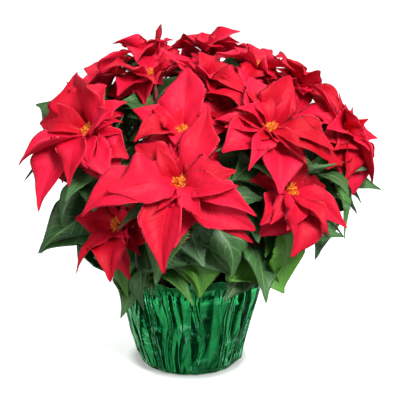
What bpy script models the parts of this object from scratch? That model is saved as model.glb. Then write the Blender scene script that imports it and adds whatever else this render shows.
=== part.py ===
"""A potted poinsettia in crinkled foil, as separate solids.

Three pinched plants stand in the soil of one grow pot. Each has a woody stem that forks into
branches, and each branch ends in a bloom: a rosette of red bracts round a cluster of cyathia.
Origin: centre of the flat base, on the surface that the pot stands on. +Z up, front is -Y.
"""
import math
import random
from dataclasses import dataclass, replace

import bmesh
import bpy
import numpy as np
from mathutils.bvhtree import BVHTree

# Driving dimensions, in metres
MM = 0.001
GAP = 0.3 * MM                       # between two pieces that touch

POT_HEIGHT = 104 * MM
POT_RIM_RADIUS = 81.0 * MM
POT_BASE_RADIUS = 55.0 * MM
POT_BASE_BEVEL = 9.0 * MM            # across, and less than half as high
POT_WALL = 1.6 * MM
POT_SIDES = 20
SOIL_LEVEL = 90 * MM
SOIL_EDGE = 4 * MM                   # how much lower the soil lies at the pot's wall
SOIL_HEAP = 1.5 * MM                 # how much higher it lies in the middle

FOIL_THICKNESS = 0.8 * MM
FOIL_COLUMNS = 36                    # every second one is a ridge, the others are valleys
FOIL_PLEAT = 1.7 * MM                # a ridge stands out by this, a valley goes in by it
# The foil's rows up to its neck: radius and height in mm, and how much of the pleat shows there
FOIL_BODY = ((50.0, 0.0, 0.0), (58.5, 1.8, 0.35), (62.0, 8.0, 0.8), (74.2, 52.0, 1.0),
             (86.0, 97.0, 1.0), (83.6, 105.5, 0.75))
FOIL_COLLAR = 1.3                    # how much of the pleat shows half way up the collar
FOIL_LIP = (98.0, 129.0, 1.7)        # the same three values for the lip, where nothing pulls at it
FOIL_CORNER = (30.0, 3.0)            # how far a corner of the sheet stands out and up, in mm
FOIL_WAVE = (2.0, 3.0)               # how far the lip waves out and up, in mm

STEM_RADIUS = 5.5 * MM
STEM_FOOT = 60 * MM                  # height of the woody stem's lower end, in its hole
STEM_TOP = 126 * MM
STEM_SIDES = 8
STEM_SHOULDER = 6 * MM               # the stem tapers to a blunt end over this
FORK_DEPTH = (4 * MM, 28 * MM)       # how far below the stem's top its branches leave it
BRANCH_RADIUS = 2.7 * MM
BRANCH_SIDES = 5
BRANCH_STEPS = 4

HUB_RADIUS = 4.6 * MM                # the end of a branch, which the bracts grow from
HUB_HEIGHT = 10.0 * MM
HUB_SIDES = 6
CYATHIUM_RING = 5                    # cyathia round the one in the middle of a cluster
CYATHIUM_SIDES = 4
CYATHIUM_RADIUS = 2.1 * MM
CYATHIUM_LENGTH = 6.5 * MM
CLUSTER_RADIUS = 4.6 * MM

BLADE_CLEARANCE = 0.45 * MM          # kept between blades of different nodes
TRIES = 160                          # how many places a blade may try before it is left out
ROOT_SHARE = 0.35                    # of a stalk, where blades of one bloom may run together
GOLDEN_ANGLE = math.radians(137.508)
VIEW_TILT = math.radians(18)         # how far the usual view looks down on the plant

# How far a blade may be moved from its first place, to get clear of what stands there
MOST_TURN = math.radians(26)
MOST_LIFT = math.radians(38)
MOST_ROLL = math.radians(32)
MOST_TWIST = math.radians(30)
MOST_ARCH = 0.16                     # share of its length
MOST_SHRINKAGE = 0.42                # share of its size

# Directions of the usual view: across to the right, up the picture, and towards the eye
RIGHT = np.array((1.0, 0.0, 0.0))
UP = np.array((0.0, math.sin(VIEW_TILT), math.cos(VIEW_TILT)))
TOWARDS = np.array((0.0, -math.cos(VIEW_TILT), math.sin(VIEW_TILT)))
VERTICAL = np.array((0.0, 0.0, 1.0))
DOME_CENTRE = np.array((0.0, 0.0, 150.0)) * MM

# A plant: where its woody stem stands in the soil (x, y in mm)
PLANTS = {
    "left": (-30, -8),
    "right": (27, -18),
    "back": (2, 33),
}

# A bloom: its plant, its centre in mm, how many bracts it has, the reach of its outer bracts in mm,
# and the bracts placed by eye: clock angle in the usual view, reach across it, how far the tip
# comes towards the eye, and full width. Outer bracts come first. The rest follow the spiral rule.
BLOOMS = {
    "front": ("right", (-9, -125, 255), 13, 84, (
        (-103, 98, 38, 50), (-34, 94, 22, 50), (-163, 112, 6, 42), (-173, 78, 30, 46),
        (-22, 88, 34, 26), (72, 96, -14, 34), (38, 62, -8, 46), (-12, 72, 40, 30),
        (140, 66, -20, 38), (-138, 46, 44, 24), (-108, 44, 48, 17), (8, 46, 22, 28))),
    "left": ("left", (-109, -75, 299), 14, 82, (
        (-124, 104, 14, 34), (-154, 86, 8, 38), (102, 70, -20, 50), (-176, 68, 10, 36),
        (-62, 62, 40, 36), (150, 72, -8, 34), (72, 60, -14, 44), (-35, 52, 34, 38),
        (-109, 64, 44, 30), (125, 56, -2, 28), (41, 56, 4, 24), (172, 56, 22, 20),
        (19, 40, 12, 20))),
    "centre": ("left", (-6, -75, 298), 11, 70, (
        (85, 76, -22, 40), (153, 62, -6, 38), (-139, 60, 30, 40), (20, 56, -20, 34),
        (-165, 60, 22, 26), (131, 44, 8, 30), (55, 44, 6, 20), (-60, 40, 40, 22))),
    "right": ("right", (86, -85, 304), 14, 84, (
        (-26, 90, 16, 36), (-84, 70, 40, 40), (148, 84, -18, 30), (68, 66, -22, 34),
        (-19, 74, 30, 32), (-152, 58, 30, 40), (92, 66, -12, 42), (0, 60, 12, 28),
        (-117, 52, 50, 20), (122, 54, -4, 18), (34, 44, 2, 22), (-52, 24, 34, 18))),
    "far_right": ("right", (176, -12, 281), 12, 80, (
        (130, 78, 8, 28), (-62, 66, 16, 40), (-40, 44, -2, 40), (-76, 66, 36, 30),
        (103, 44, 10, 16), (94, 36, -12, 14), (30, 26, 14, 24), (-128, 34, 34, 22),
        (60, 30, -40, 18))),
    "upper_right": ("right", (77, 0, 352), 10, 66, (
        (158, 52, 14, 36), (-6, 42, 20, 28), (84, 26, -40, 26), (38, 32, -30, 24),
        (-131, 36, 36, 26))),
    "lower_right": ("right", (108, -100, 240), 11, 74, (
        (-90, 72, 26, 48), (-35, 74, 10, 30), (-134, 50, 30, 34), (-57, 58, 4, 34),
        (-4, 56, 20, 34), (-50, 60, 30, 22), (-79, 42, 44, 26), (160, 36, 14, 22))),
    "top": ("left", (17, -20, 346), 9, 60, (
        (-150, 50, 36, 30), (-25, 52, 34, 28))),
    "upper_left": ("left", (-42, -5, 345), 10, 66, (
        (178, 56, 28, 46), (-145, 46, 44, 34), (35, 34, 10, 28))),
    "left_back": ("left", (-97, 10, 334), 9, 64, (
        (120, 40, -30, 24), (150, 34, 8, 26))),
    "crown_left": ("back", (-44, 50, 360), 9, 62, (
        (170, 46, 20, 34), (60, 26, -30, 24))),
    "crown_right": ("back", (20, 58, 360), 10, 64, (
        (138, 30, 10, 24), (21, 42, 12, 28), (55, 24, -20, 16))),
    "right_back": ("back", (128, 40, 322), 10, 66, (
        (130, 30, -30, 24), (34, 22, 16, 20))),
    "lower_left": ("left", (-76, -95, 199), 9, 70, (
        (-130, 70, 20, 22), (-97, 62, 34, 32), (-77, 62, 20, 34), (174, 58, 20, 34))),
    "back_left": ("left", (-112, 85, 262), 11, 74, ()),
    "back": ("back", (-6, 125, 282), 12, 78, ()),
    "back_right": ("right", (103, 103, 268), 12, 76, ()),
    "low_back_left": ("back", (-66, 112, 196), 10, 70, ()),
    "low_back_right": ("back", (62, 114, 200), 10, 70, ()),
}

# Leaves that show in the usual view: where the tip is in mm, and the full width in mm
SHOWN_LEAVES = (
    ((-188, -30, 229), 40), ((-172, -60, 152), 46), ((-129, -72, 166), 32), ((-104, -92, 218), 46),
    ((-79, -102, 187), 30), ((-70, -108, 116), 44), ((-39, -117, 122), 52), ((5, -120, 111), 30),
    ((14, -114, 121), 26), ((48, -121, 145), 52), ((84, -112, 166), 44), ((103, -104, 119), 50),
    ((122, -112, 234), 34), ((142, -62, 144), 36), ((130, -76, 150), 40), ((182, -40, 158), 34),
    ((180, -52, 205), 36), ((216, -10, 204), 34), ((192, -62, 246), 30), ((81, 50, 376), 30),
    ((-39, 70, 380), 26), ((-22, 20, 371), 26), ((-45, -4, 352), 24), ((-74, -42, 331), 26),
    ((1, -42, 362), 34), ((60, -60, 330), 30), ((-20, -100, 210), 44), ((30, -112, 190), 44),
)
LEAF_PLACES = (0.42, 0.5, 0.58, 0.66, 0.74, 0.82, 0.9)      # where they may leave a branch
USUAL_LEAF = 100 * MM                # how long they are, about
LEAVES_PER_BRANCH = 3                # besides those that are placed by eye
LEAVES_ON_CROWN = 2                  # on the branches that end above CROWN_LEVEL
CROWN_LEVEL = 315 * MM

# A blade starts at an upright edge sunk in what it grows from, and has a ring at each station:
# how far along it is, and how thick the blade is there in mm
BRACT_RINGS = ((0.29, 1.4), (0.62, 1.1))
SMALL_BRACT_RINGS = ((0.46, 1.4),)
LEAF_RINGS = ((0.29, 2.0), (0.59, 1.2))
SMALL_BRACT = 57 * MM                # up to this length a bract has one ring
ROOT_THICKNESS = 1.2 * MM
INNER_BRACTS = 0.6                   # this share of a bloom's bracts lies flat, the others rise

RED = (0.80, 0.01, 0.03)
LEAF_GREEN = (0.03, 0.13, 0.04)
CYATHIUM_YELLOW = (0.75, 0.42, 0.04)
FOIL_GREEN = (0.01, 0.22, 0.07)
POT_GREEN = (0.02, 0.06, 0.03)
PEAT = (0.035, 0.02, 0.012)


@dataclass(frozen=True)
class Blade:
    """A bract or a leaf: a thin blade along an arched midrib, from its root to its tip."""
    root: np.ndarray
    tip: np.ndarray
    up: np.ndarray            # the side that its upper face turns to
    half_width: float
    arch: float               # rise of the midrib over its chord, as a share of the length
    sway: float               # sideways bow of the midrib, as a share of the length
    roll: float               # turn of the blade about its midrib, in radians
    twist: float              # further turn from the root to the tip, in radians
    fold: float               # how far each half is folded up from flat, in radians
    rings: tuple              # its stations with their thickness
    edges: tuple              # width factors of the left and right edge at the stations
    curls: tuple              # lift of the left and right edge there, as a share of the half width
    is_leaf: bool


# Small vector helpers
def unit(vector):
    """The vector at length 1."""
    return vector / math.sqrt(float((vector * vector).sum()))


def units(vectors):
    """Each row at length 1."""
    return vectors / np.sqrt((vectors * vectors).sum(axis=1))[:, None]


def turned(vector, axis, angle):
    """The vector turned about a unit axis."""
    along = axis * float((vector * axis).sum())
    return along + (vector - along) * math.cos(angle) + np.cross(axis, vector) * math.sin(angle)


def square_to(direction, axis):
    """The part of a direction that is square to a unit axis, at length 1."""
    rest = direction - axis * float((direction * axis).sum())
    if float((rest * rest).sum()) < 1e-6:
        rest = np.cross(axis, RIGHT) + 1e-3 * VERTICAL
    return unit(rest)


# The surface of a blade
def width_share(station, is_leaf):
    """Half width at a station from 0, the root, to 1, the tip, as a share of the widest."""
    stalk = 0.25 if is_leaf else 0.06
    rise = 0.62 if is_leaf else 1.0
    fall = 1.05 if is_leaf else 0.95
    peak = rise / (rise + fall)
    along = max(0.0, (station - stalk) / (1.0 - stalk))
    if along >= 1.0:
        return 0.0
    top = peak ** rise * (1.0 - peak) ** fall
    return along ** rise * (1.0 - along) ** fall / top


def blade_vertices(blade, extra=0.0, start=0.0):
    """Both ends of the root edge, rings of left edge, midrib, right edge and midrib below, the tip.

    extra grows the blade on every side, for testing its distance to others. start leaves out that
    share of the stalk, for testing it against blades that share its root.
    """
    stations = np.array([station for station, _ in blade.rings])
    thickness = np.array([thick for _, thick in blade.rings]) * MM / 2 + extra
    chord = blade.tip - blade.root
    length = math.sqrt(float((chord * chord).sum()))
    along = chord / length
    upward = square_to(blade.up, along)
    sideways = np.cross(along, upward)
    t = stations[:, None]
    bump = 4 * t * (1 - t)
    slope = 4 * (1 - 2 * t)
    middle = blade.root + length * (t * along + blade.arch * bump * upward
                                    + blade.sway * bump * sideways)
    tangent = units(along + blade.arch * slope * upward + blade.sway * slope * sideways)
    angles = [blade.roll + blade.twist * station for station in stations]
    cosines = np.array([math.cos(angle) for angle in angles])[:, None]
    sines = np.array([math.sin(angle) for angle in angles])[:, None]
    across = cosines * sideways - sines * upward
    across = units(across - tangent * (across * tangent).sum(axis=1)[:, None])
    normal = np.cross(across, tangent)
    shares = [blade.half_width * width_share(station, blade.is_leaf) for station in stations]
    left, right = (np.array([max(ROOT_THICKNESS, share * edge) + extra
                             for share, edge in zip(shares, edges)])[:, None]
                   for edges in blade.edges)
    lift_left, lift_right = (np.array(curls)[:, None] for curls in blade.curls)
    flat, steep = math.cos(blade.fold), math.sin(blade.fold)
    rings = np.empty((len(stations), 4, 3))
    rings[:, 0] = middle - across * left * flat + normal * left * (steep + lift_left)
    rings[:, 1] = middle + normal * thickness[:, None]
    rings[:, 2] = middle + across * right * flat + normal * right * (steep + lift_right)
    rings[:, 3] = middle - normal * thickness[:, None]
    root = blade.root + start * (middle[0] - blade.root)
    half = upward * (ROOT_THICKNESS / 2 + extra)
    return np.vstack((root + half, root - half, rings.reshape(-1, 3), blade.tip + along * extra))


def blade_faces(ring_count):
    """Triangles of a blade, split alike on its upper and lower face so that they never cross."""
    upper, lower, left, top, right, bottom = range(6)
    faces = [(upper, top, left), (upper, right, top), (lower, left, bottom),
             (lower, bottom, right), (upper, left, lower), (upper, lower, right)]
    for ring in range(ring_count - 1):
        here, there = 4 * ring + 2, 4 * ring + 6
        for side in (0, 2):
            a, b, c, d = here + side, here + side + 1, there + side + 1, there + side
            faces += [(a, b, d), (b, c, d)]
        for side in (1, 3):
            a, b = here + side, here + (side + 1) % 4
            c, d = there + (side + 1) % 4, there + side
            faces += [(a, b, c), (a, c, d)]
    last = 4 * ring_count - 2
    tip = 4 * ring_count + 2
    faces += [(last + side, last + (side + 1) % 4, tip) for side in range(4)]
    return faces


FACES_BY_RINGS = {count: blade_faces(count) for count in (1, 2)}


def blade_solid(blade, extra=0.0, start=0.0):
    """Vertices and faces of a blade."""
    return blade_vertices(blade, extra, start), FACES_BY_RINGS[len(blade.rings)]


# The crowd of placed surfaces, which a new blade has to keep clear of
class Crowd:
    """Triangles of everything that is already in its place."""

    def __init__(self):
        self.vertices = []
        self.faces = []

    def add(self, solids):
        """Adds solids, each given as its vertices and faces."""
        for vertices, faces in solids:
            start = len(self.vertices)
            self.vertices += [tuple(vertex) for vertex in vertices]
            self.faces += [tuple(start + corner for corner in face) for face in faces]

    def joined_by(self, solids):
        """A new crowd that holds these solids too."""
        crowd = Crowd()
        crowd.add([(self.vertices, self.faces)])
        crowd.add(solids)
        return crowd

    def tree(self):
        """A search tree of all triangles so far, or None where there are none."""
        if not self.faces:
            return None
        return BVHTree.FromPolygons(self.vertices, self.faces)


def crossings(tree, solid):
    """How many triangles of a solid cross those of a tree, counted in pairs."""
    if tree is None:
        return 0
    vertices, faces = solid
    other = BVHTree.FromPolygons([tuple(vertex) for vertex in vertices], faces)
    return len(tree.overlap(other))


def moved_blade(blade, axis, spread, rng):
    """The blade bent to another place nearby, further away the larger the spread."""
    chord = blade.tip - blade.root
    turn = MOST_TURN * spread * rng.uniform(-1, 1)
    lift = MOST_LIFT * spread * rng.uniform(-1, 1)
    size = 1 - MOST_SHRINKAGE * spread * rng.random()
    hinge = unit(np.cross(chord, axis))
    chord = turned(turned(chord, axis, turn), hinge, lift) * size
    return replace(
        blade, tip=blade.root + chord, half_width=blade.half_width * size,
        arch=blade.arch + MOST_ARCH * spread * rng.uniform(-1, 1),
        roll=blade.roll + MOST_ROLL * spread * rng.uniform(-1, 1),
        twist=blade.twist + MOST_TWIST * spread * rng.uniform(-1, 1))


def settled_blade(blade, axis, others, own, rng):
    """The nearest place for a blade that is clear of the others' tree, and of its own if it can be.

    Returns None where no place is clear.
    """
    own_tree = own.tree()
    best, best_count = None, None
    for attempt in range(TRIES):
        trial = blade if attempt == 0 else moved_blade(blade, axis, attempt / TRIES, rng)
        if crossings(others, blade_solid(trial, extra=BLADE_CLEARANCE)):
            continue
        count = crossings(own_tree, blade_solid(trial, start=ROOT_SHARE))
        if best_count is None or count < best_count:
            best, best_count = trial, count
        if count == 0:
            break
    return best


# Stems
def curve_points(start, leave, arrive, end, steps):
    """Points of a cubic curve between two ends with their two guide points."""
    points = []
    for step in range(steps + 1):
        t = step / steps
        s = 1 - t
        points.append(s ** 3 * start + 3 * s * s * t * leave + 3 * s * t * t * arrive
                      + t ** 3 * end)
    return np.array(points)


def tube(points, radii, sides, end_axis=None):
    """A closed tube along points: vertices and faces. Its far end is square to end_axis, if given."""
    tangents = np.gradient(points, axis=0)
    if end_axis is not None:
        tangents[-1] = end_axis
    vertices = []
    for point, tangent, radius in zip(points, tangents, radii):
        ahead = unit(tangent)
        first = square_to(RIGHT, ahead)
        second = np.cross(ahead, first)
        for side in range(sides):
            angle = 2 * math.pi * side / sides
            vertices.append(point + radius * (math.cos(angle) * first
                                              + math.sin(angle) * second))
    faces = []
    for step in range(len(points) - 1):
        for side in range(sides):
            after = (side + 1) % sides
            a, b = step * sides + side, step * sides + after
            faces += [(a, b, b + sides), (a, b + sides, a + sides)]
    last = (len(points) - 1) * sides
    faces += [(0, side + 1, side) for side in range(1, sides - 1)]
    faces += [(last, last + side, last + side + 1) for side in range(1, sides - 1)]
    return np.array(vertices), faces


def centre_of(bloom_name):
    """Where the cyathia of a bloom stand, in metres."""
    return np.array(BLOOMS[bloom_name][1], dtype=float) * MM


def facing(centre):
    """The way a bloom at a centre looks: outwards from the middle of the dome."""
    return unit(centre - DOME_CENTRE)


def branch_line(bloom_name):
    """Points and radii of the branch that carries a bloom."""
    plant = BLOOMS[bloom_name][0]
    siblings = [name for name in BLOOMS if BLOOMS[name][0] == plant]
    order = siblings.index(bloom_name) / max(1, len(siblings) - 1)
    foot_x, foot_y = PLANTS[plant]
    start = np.array((foot_x, foot_y, 0.0)) * MM
    start[2] = STEM_TOP - (FORK_DEPTH[0] + order * (FORK_DEPTH[1] - FORK_DEPTH[0]))
    centre = centre_of(bloom_name)
    axis = facing(centre)
    end = centre - axis * (HUB_HEIGHT + GAP)
    span = math.sqrt(float(((end - start) ** 2).sum()))
    outward = end - start
    outward[2] = 0.0
    leave = start + 0.22 * outward + 0.28 * span * VERTICAL
    arrive = end - 0.34 * span * unit(axis + 0.35 * VERTICAL)
    points = curve_points(start, leave, arrive, end, BRANCH_STEPS)
    radii = np.linspace(1.25, 1.0, BRANCH_STEPS + 1) * BRANCH_RADIUS
    return points, radii


# Blooms
def hub_solid(centre, axis):
    """The end of the branch, coloured like the bracts: a squat tapered button."""
    points = np.array([centre - axis * HUB_HEIGHT, centre])
    return tube(points, (0.8 * HUB_RADIUS, HUB_RADIUS), HUB_SIDES)


def cyathium_solid(base, axis, radius, length):
    """One cyathium: a small urn, widest above its middle, with a pointed top."""
    first = square_to(RIGHT, axis)
    second = np.cross(axis, first)
    sides = CYATHIUM_SIDES
    vertices = [base]
    for side in range(sides):
        angle = 2 * math.pi * side / sides
        outward = math.cos(angle) * first + math.sin(angle) * second
        vertices.append(base + axis * 0.62 * length + radius * outward)
    vertices.append(base + axis * length)
    faces = []
    for side in range(sides):
        here, after = 1 + side, 1 + (side + 1) % sides
        faces += [(0, after, here), (here, after, sides + 1)]
    return np.array(vertices), faces


def cyathia_solids(centre, axis, rng):
    """The cushion that a cluster grows on, and its cyathia: one in the middle and a ring round it."""
    first = square_to(RIGHT, axis)
    second = np.cross(axis, first)
    foot = centre + axis * GAP
    top = foot + axis * 2.6 * MM
    cushion = tube(np.array([foot, top]), (2.6 * MM, CLUSTER_RADIUS + 0.6 * MM), CYATHIUM_RING)
    urns = [cyathium_solid(top - axis * 1.4 * MM, axis, CYATHIUM_RADIUS,
                           CYATHIUM_LENGTH * rng.uniform(1.0, 1.2))]
    for index in range(CYATHIUM_RING):
        angle = 2 * math.pi * (index + 0.5 + rng.uniform(-0.1, 0.1)) / CYATHIUM_RING
        outward = math.cos(angle) * first + math.sin(angle) * second
        base = top - axis * 1.4 * MM + outward * 0.66 * CLUSTER_RADIUS
        urns.append(cyathium_solid(base, unit(axis + 0.55 * outward),
                                   CYATHIUM_RADIUS * rng.uniform(0.85, 1.05),
                                   CYATHIUM_LENGTH * rng.uniform(0.8, 1.1)))
    return cushion, urns


def blade_draws(rng, is_leaf, length):
    """The seeded draws that make each blade differ: edge shoulders, curls, twist and fold."""
    rough = 0.10 if is_leaf else 0.16
    rings = LEAF_RINGS if is_leaf else SMALL_BRACT_RINGS if length < SMALL_BRACT else BRACT_RINGS
    edges = tuple(tuple(1 + rough * rng.uniform(-1, 1.3) for _ in rings) for _ in range(2))
    curls = tuple(tuple(0.20 * rng.uniform(-1, 1) for _ in rings) for _ in range(2))
    return dict(rings=rings, edges=edges, curls=curls, sway=0.07 * rng.uniform(-1, 1),
                roll=math.radians(12) * rng.uniform(-1, 1),
                twist=math.radians(28) * rng.uniform(-1, 1),
                fold=math.radians(rng.uniform(2, 20)))


def bract_root(centre, axis, tip, level):
    """Where a bract leaves the hub: on the side of its tip, at a level from 0, low, to 1, high."""
    side = square_to(tip - centre, axis)
    depth = (0.82 - 0.68 * level) * HUB_HEIGHT
    return centre - axis * depth + side * 0.4 * HUB_RADIUS


def placed_bracts(centre, axis, shown, rng):
    """Bracts placed by eye, before they are settled."""
    bracts = []
    for index, (clock, reach, towards, width) in enumerate(shown):
        angle = math.radians(clock)
        offset = reach * (math.cos(angle) * RIGHT + math.sin(angle) * UP) + towards * TOWARDS
        tip = centre + offset * MM
        root = bract_root(centre, axis, tip, index / max(1, len(shown) - 1))
        arch = 0.10 + 0.10 * rng.random()
        length = math.hypot(reach, towards) * MM
        bracts.append(Blade(root=root, tip=tip, up=axis, half_width=0.57 * width * MM, arch=arch,
                            is_leaf=False, **blade_draws(rng, False, length)))
    return bracts


def spiral_bracts(centre, axis, count, reach, taken, rng):
    """Bracts placed by the golden angle: outer ones long and level, inner ones short and steep."""
    first = square_to(RIGHT, axis)
    second = np.cross(axis, first)
    angles = [math.atan2(float((blade.tip - centre) @ second), float((blade.tip - centre) @ first))
              for blade in taken]
    bracts = []
    step = 0
    while len(taken) + len(bracts) < count and step < 80:
        angle = step * GOLDEN_ANGLE + 0.6
        step += 1
        room = 1.1 / (1 + 0.06 * step)
        if any(abs(math.remainder(angle - other, 2 * math.pi)) < room for other in angles):
            continue
        share = (len(taken) + len(bracts)) / count
        inner = share > INNER_BRACTS
        lift = math.radians(rng.uniform(26, 44) if inner else rng.uniform(-16, 10))
        long = reach * (rng.uniform(0.52, 0.7) if inner else rng.uniform(0.86, 1.04))
        outward = math.cos(angle) * first + math.sin(angle) * second
        offset = math.cos(lift) * outward + math.sin(lift) * axis
        tip = centre + offset * long * MM
        bracts.append(Blade(root=bract_root(centre, axis, tip, share), tip=tip, up=axis,
                            half_width=long * MM * rng.uniform(0.26, 0.33),
                            arch=0.08 + 0.10 * rng.random(), is_leaf=False,
                            **blade_draws(rng, False, long * MM)))
        angles.append(angle)
    return bracts


def settled_bloom(bloom_name, others):
    """All bracts of a bloom, each bent clear of what stands already."""
    _, _, count, reach, shown = BLOOMS[bloom_name]
    rng = random.Random("bracts " + bloom_name)
    centre = centre_of(bloom_name)
    axis = facing(centre)
    wanted = placed_bracts(centre, axis, shown, rng)
    wanted += spiral_bracts(centre, axis, count, reach, wanted, rng)
    own = Crowd()
    kept = []
    for blade in wanted:
        settled = settled_blade(blade, axis, others, own, rng)
        if settled is not None:
            kept.append(settled)
            own.add([blade_solid(settled, start=ROOT_SHARE)])
    return kept


def settled_blooms(crowd, stems, hubs):
    """The bracts of every bloom, which join the crowd one bloom after the other."""
    blooms = {}
    for name in BLOOMS:
        around = crowd.joined_by(solid for solids in stems.values() for solid in solids)
        around.add(hubs[other] for other in BLOOMS if other != name)
        blooms[name] = settled_bloom(name, around.tree())
        crowd.add(blade_solid(blade) for blade in blooms[name])
    crowd.add(hubs.values())
    return blooms


# Leaves
def leaf_roots(branches):
    """Places on every branch where a leaf can grow: the name of its bloom and the point."""
    roots = []
    for name, (points, _) in branches.items():
        for share in LEAF_PLACES:
            place = share * (len(points) - 1)
            low = int(place)
            ahead = points[low + 1] - points[low]
            roots.append((name, points[low] + ahead * (place - low)))
    return roots


def root_for(tip, roots):
    """The place on a branch that lies about a leaf's length inwards from a tip."""
    def misfit(root):
        chord = tip - root[1]
        length = math.sqrt(float((chord * chord).sum()))
        inward = float((tip * tip)[:2].sum()) > float((root[1] * root[1])[:2].sum())
        return abs(length - USUAL_LEAF) + (0.0 if inward else USUAL_LEAF / 2)

    return min(roots, key=misfit)


def shown_leaves(branches, rng):
    """Leaves placed by eye, before they are settled, each with its plant."""
    roots = leaf_roots(branches)
    leaves = []
    for tip_mm, width in SHOWN_LEAVES:
        tip = np.array(tip_mm, dtype=float) * MM
        name, root = root_for(tip, roots)
        outward = unit(np.array((tip[0], tip[1], 0.0)) + 1e-6)
        leaves.append((BLOOMS[name][0], Blade(
            root=root, tip=tip, up=unit(VERTICAL + 0.35 * outward), half_width=0.58 * width * MM,
            arch=0.12 + 0.08 * rng.random(), is_leaf=True, **blade_draws(rng, True, USUAL_LEAF))))
    return leaves


def spiral_leaves(branches, rng):
    """Leaves that follow the spiral round each branch, hanging out below its bloom."""
    leaves = []
    for name, (points, _) in branches.items():
        centre = points[-1]
        turn = rng.uniform(0, 2 * math.pi)
        for index in range(LEAVES_ON_CROWN if centre[2] > CROWN_LEVEL else LEAVES_PER_BRANCH):
            share = 0.88 - 0.15 * index
            place = share * (len(points) - 1)
            low = int(place)
            ahead = unit(points[low + 1] - points[low])
            root = points[low] + (points[low + 1] - points[low]) * (place - low)
            first = square_to(RIGHT, ahead)
            second = np.cross(ahead, first)
            angle = turn + index * GOLDEN_ANGLE
            outward = math.cos(angle) * first + math.sin(angle) * second
            away = unit(centre * np.array((1.0, 1.0, 0.0)) + 1e-6)
            heading = unit(outward + 0.75 * away + rng.uniform(-0.25, 0.25) * VERTICAL)
            long = rng.uniform(90, 122) * MM
            leaves.append((BLOOMS[name][0], Blade(
                root=root, tip=root + heading * long, up=unit(VERTICAL + 0.35 * away),
                half_width=long * rng.uniform(0.23, 0.28), arch=0.10 + 0.10 * rng.random(),
                is_leaf=True, **blade_draws(rng, True, long))))
    return leaves


def settled_leaves(branches, crowd, stems):
    """The leaves of each plant, bent clear of blooms, pot and the other plants."""
    rng = random.Random("leaves")
    wanted = shown_leaves(branches, rng) + spiral_leaves(branches, rng)
    kept = {plant: [] for plant in PLANTS}
    for plant in PLANTS:
        others = crowd.joined_by(solid for other in PLANTS if other != plant
                                 for solid in stems[other])
        tree = others.tree()
        own = Crowd()
        for owner, blade in wanted:
            if owner != plant:
                continue
            settled = settled_blade(blade, blade.up, tree, own, rng)
            if settled is not None:
                kept[plant].append(settled)
                own.add([blade_solid(settled, start=ROOT_SHARE)])
        crowd.add(blade_solid(blade) for blade in kept[plant])
    return kept


# The foil
def foil_rows(angle):
    """Radius, height and pleat share of each row at an angle round the pot, from base to lip.

    The sheet's corners stand out at the right, the left and, less, at the back.
    """
    corner = max(0.0, math.cos(angle)) ** 6 + max(0.0, math.cos(angle - math.pi)) ** 6
    corner += 0.6 * max(0.0, math.cos(angle - math.pi / 2)) ** 6
    wave = math.sin(5 * angle + 0.7) + 0.6 * math.sin(9 * angle + 2.1)
    lip_radius = FOIL_LIP[0] + FOIL_CORNER[0] * corner + FOIL_WAVE[0] * wave
    lip_height = FOIL_LIP[1] + FOIL_CORNER[1] * corner + FOIL_WAVE[1] * wave
    neck_radius, neck_height, _ = FOIL_BODY[-1]
    collar = (0.42 * neck_radius + 0.58 * lip_radius - 3.5, 0.5 * (neck_height + lip_height),
              FOIL_COLLAR)
    return (*FOIL_BODY, collar, (lip_radius, lip_height, FOIL_LIP[2]))


def foil_surface():
    """The outer face of the foil, column by column, with the middle of its base last."""
    rng = random.Random("foil")
    step = 2 * math.pi / FOIL_COLUMNS
    columns = []
    for column in range(FOIL_COLUMNS):
        base_angle = column * step + 0.22 * step * rng.uniform(-1, 1)
        slant = 0.5 * step * rng.uniform(-1, 1)
        depth = (1 if column % 2 == 0 else -1) * FOIL_PLEAT * rng.uniform(0.55, 1.0)
        for row, (radius, height, pleat) in enumerate(foil_rows(base_angle)):
            angle = base_angle + 0.6 * slant * (row / 7 - 0.6)
            out = radius * MM + depth * pleat
            columns.append((out * math.cos(angle), out * math.sin(angle), height * MM))
    columns.append((0.0, 0.0, 0.0))
    return columns


def foil_faces(rows):
    """Triangles between neighbouring columns, and the fan of the base."""
    faces = []
    middle = FOIL_COLUMNS * rows
    for column in range(FOIL_COLUMNS):
        here, there = column * rows, (column + 1) % FOIL_COLUMNS * rows
        faces.append((middle, there, here))
        for row in range(rows - 1):
            a, b, c, d = here + row, there + row, there + row + 1, here + row + 1
            faces += [(a, b, c), (a, c, d)]
    return faces


# Building objects
def new_object(name, vertices, faces, collection):
    """A mesh object from plain vertices and faces."""
    mesh = bpy.data.meshes.new(name)
    mesh.from_pydata([tuple(float(value) for value in vertex) for vertex in vertices], [], faces)
    mesh.update()
    part = bpy.data.objects.new(name, mesh)
    collection.objects.link(part)
    return part


def material(name, colour, roughness, metallic=0.0):
    """A Principled material."""
    finish = bpy.data.materials.new(name)
    finish.use_nodes = True
    shader = finish.node_tree.nodes["Principled BSDF"]
    shader.inputs["Base Color"].default_value = (*colour, 1.0)
    shader.inputs["Roughness"].default_value = roughness
    shader.inputs["Metallic"].default_value = metallic
    return finish


def apply_modifiers(part):
    """Swaps the object's mesh for what its modifiers make of it."""
    depsgraph = bpy.context.evaluated_depsgraph_get()
    made = bpy.data.meshes.new_from_object(part.evaluated_get(depsgraph))
    part.modifiers.clear()
    old = part.data
    part.data = made
    bpy.data.meshes.remove(old)


def linked_corners(start):
    """All corners that hang together with one."""
    found, waiting = {start}, [start]
    while waiting:
        for edge in waiting.pop().link_edges:
            for corner in edge.verts:
                if corner not in found:
                    found.add(corner)
                    waiting.append(corner)
    return found


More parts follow.
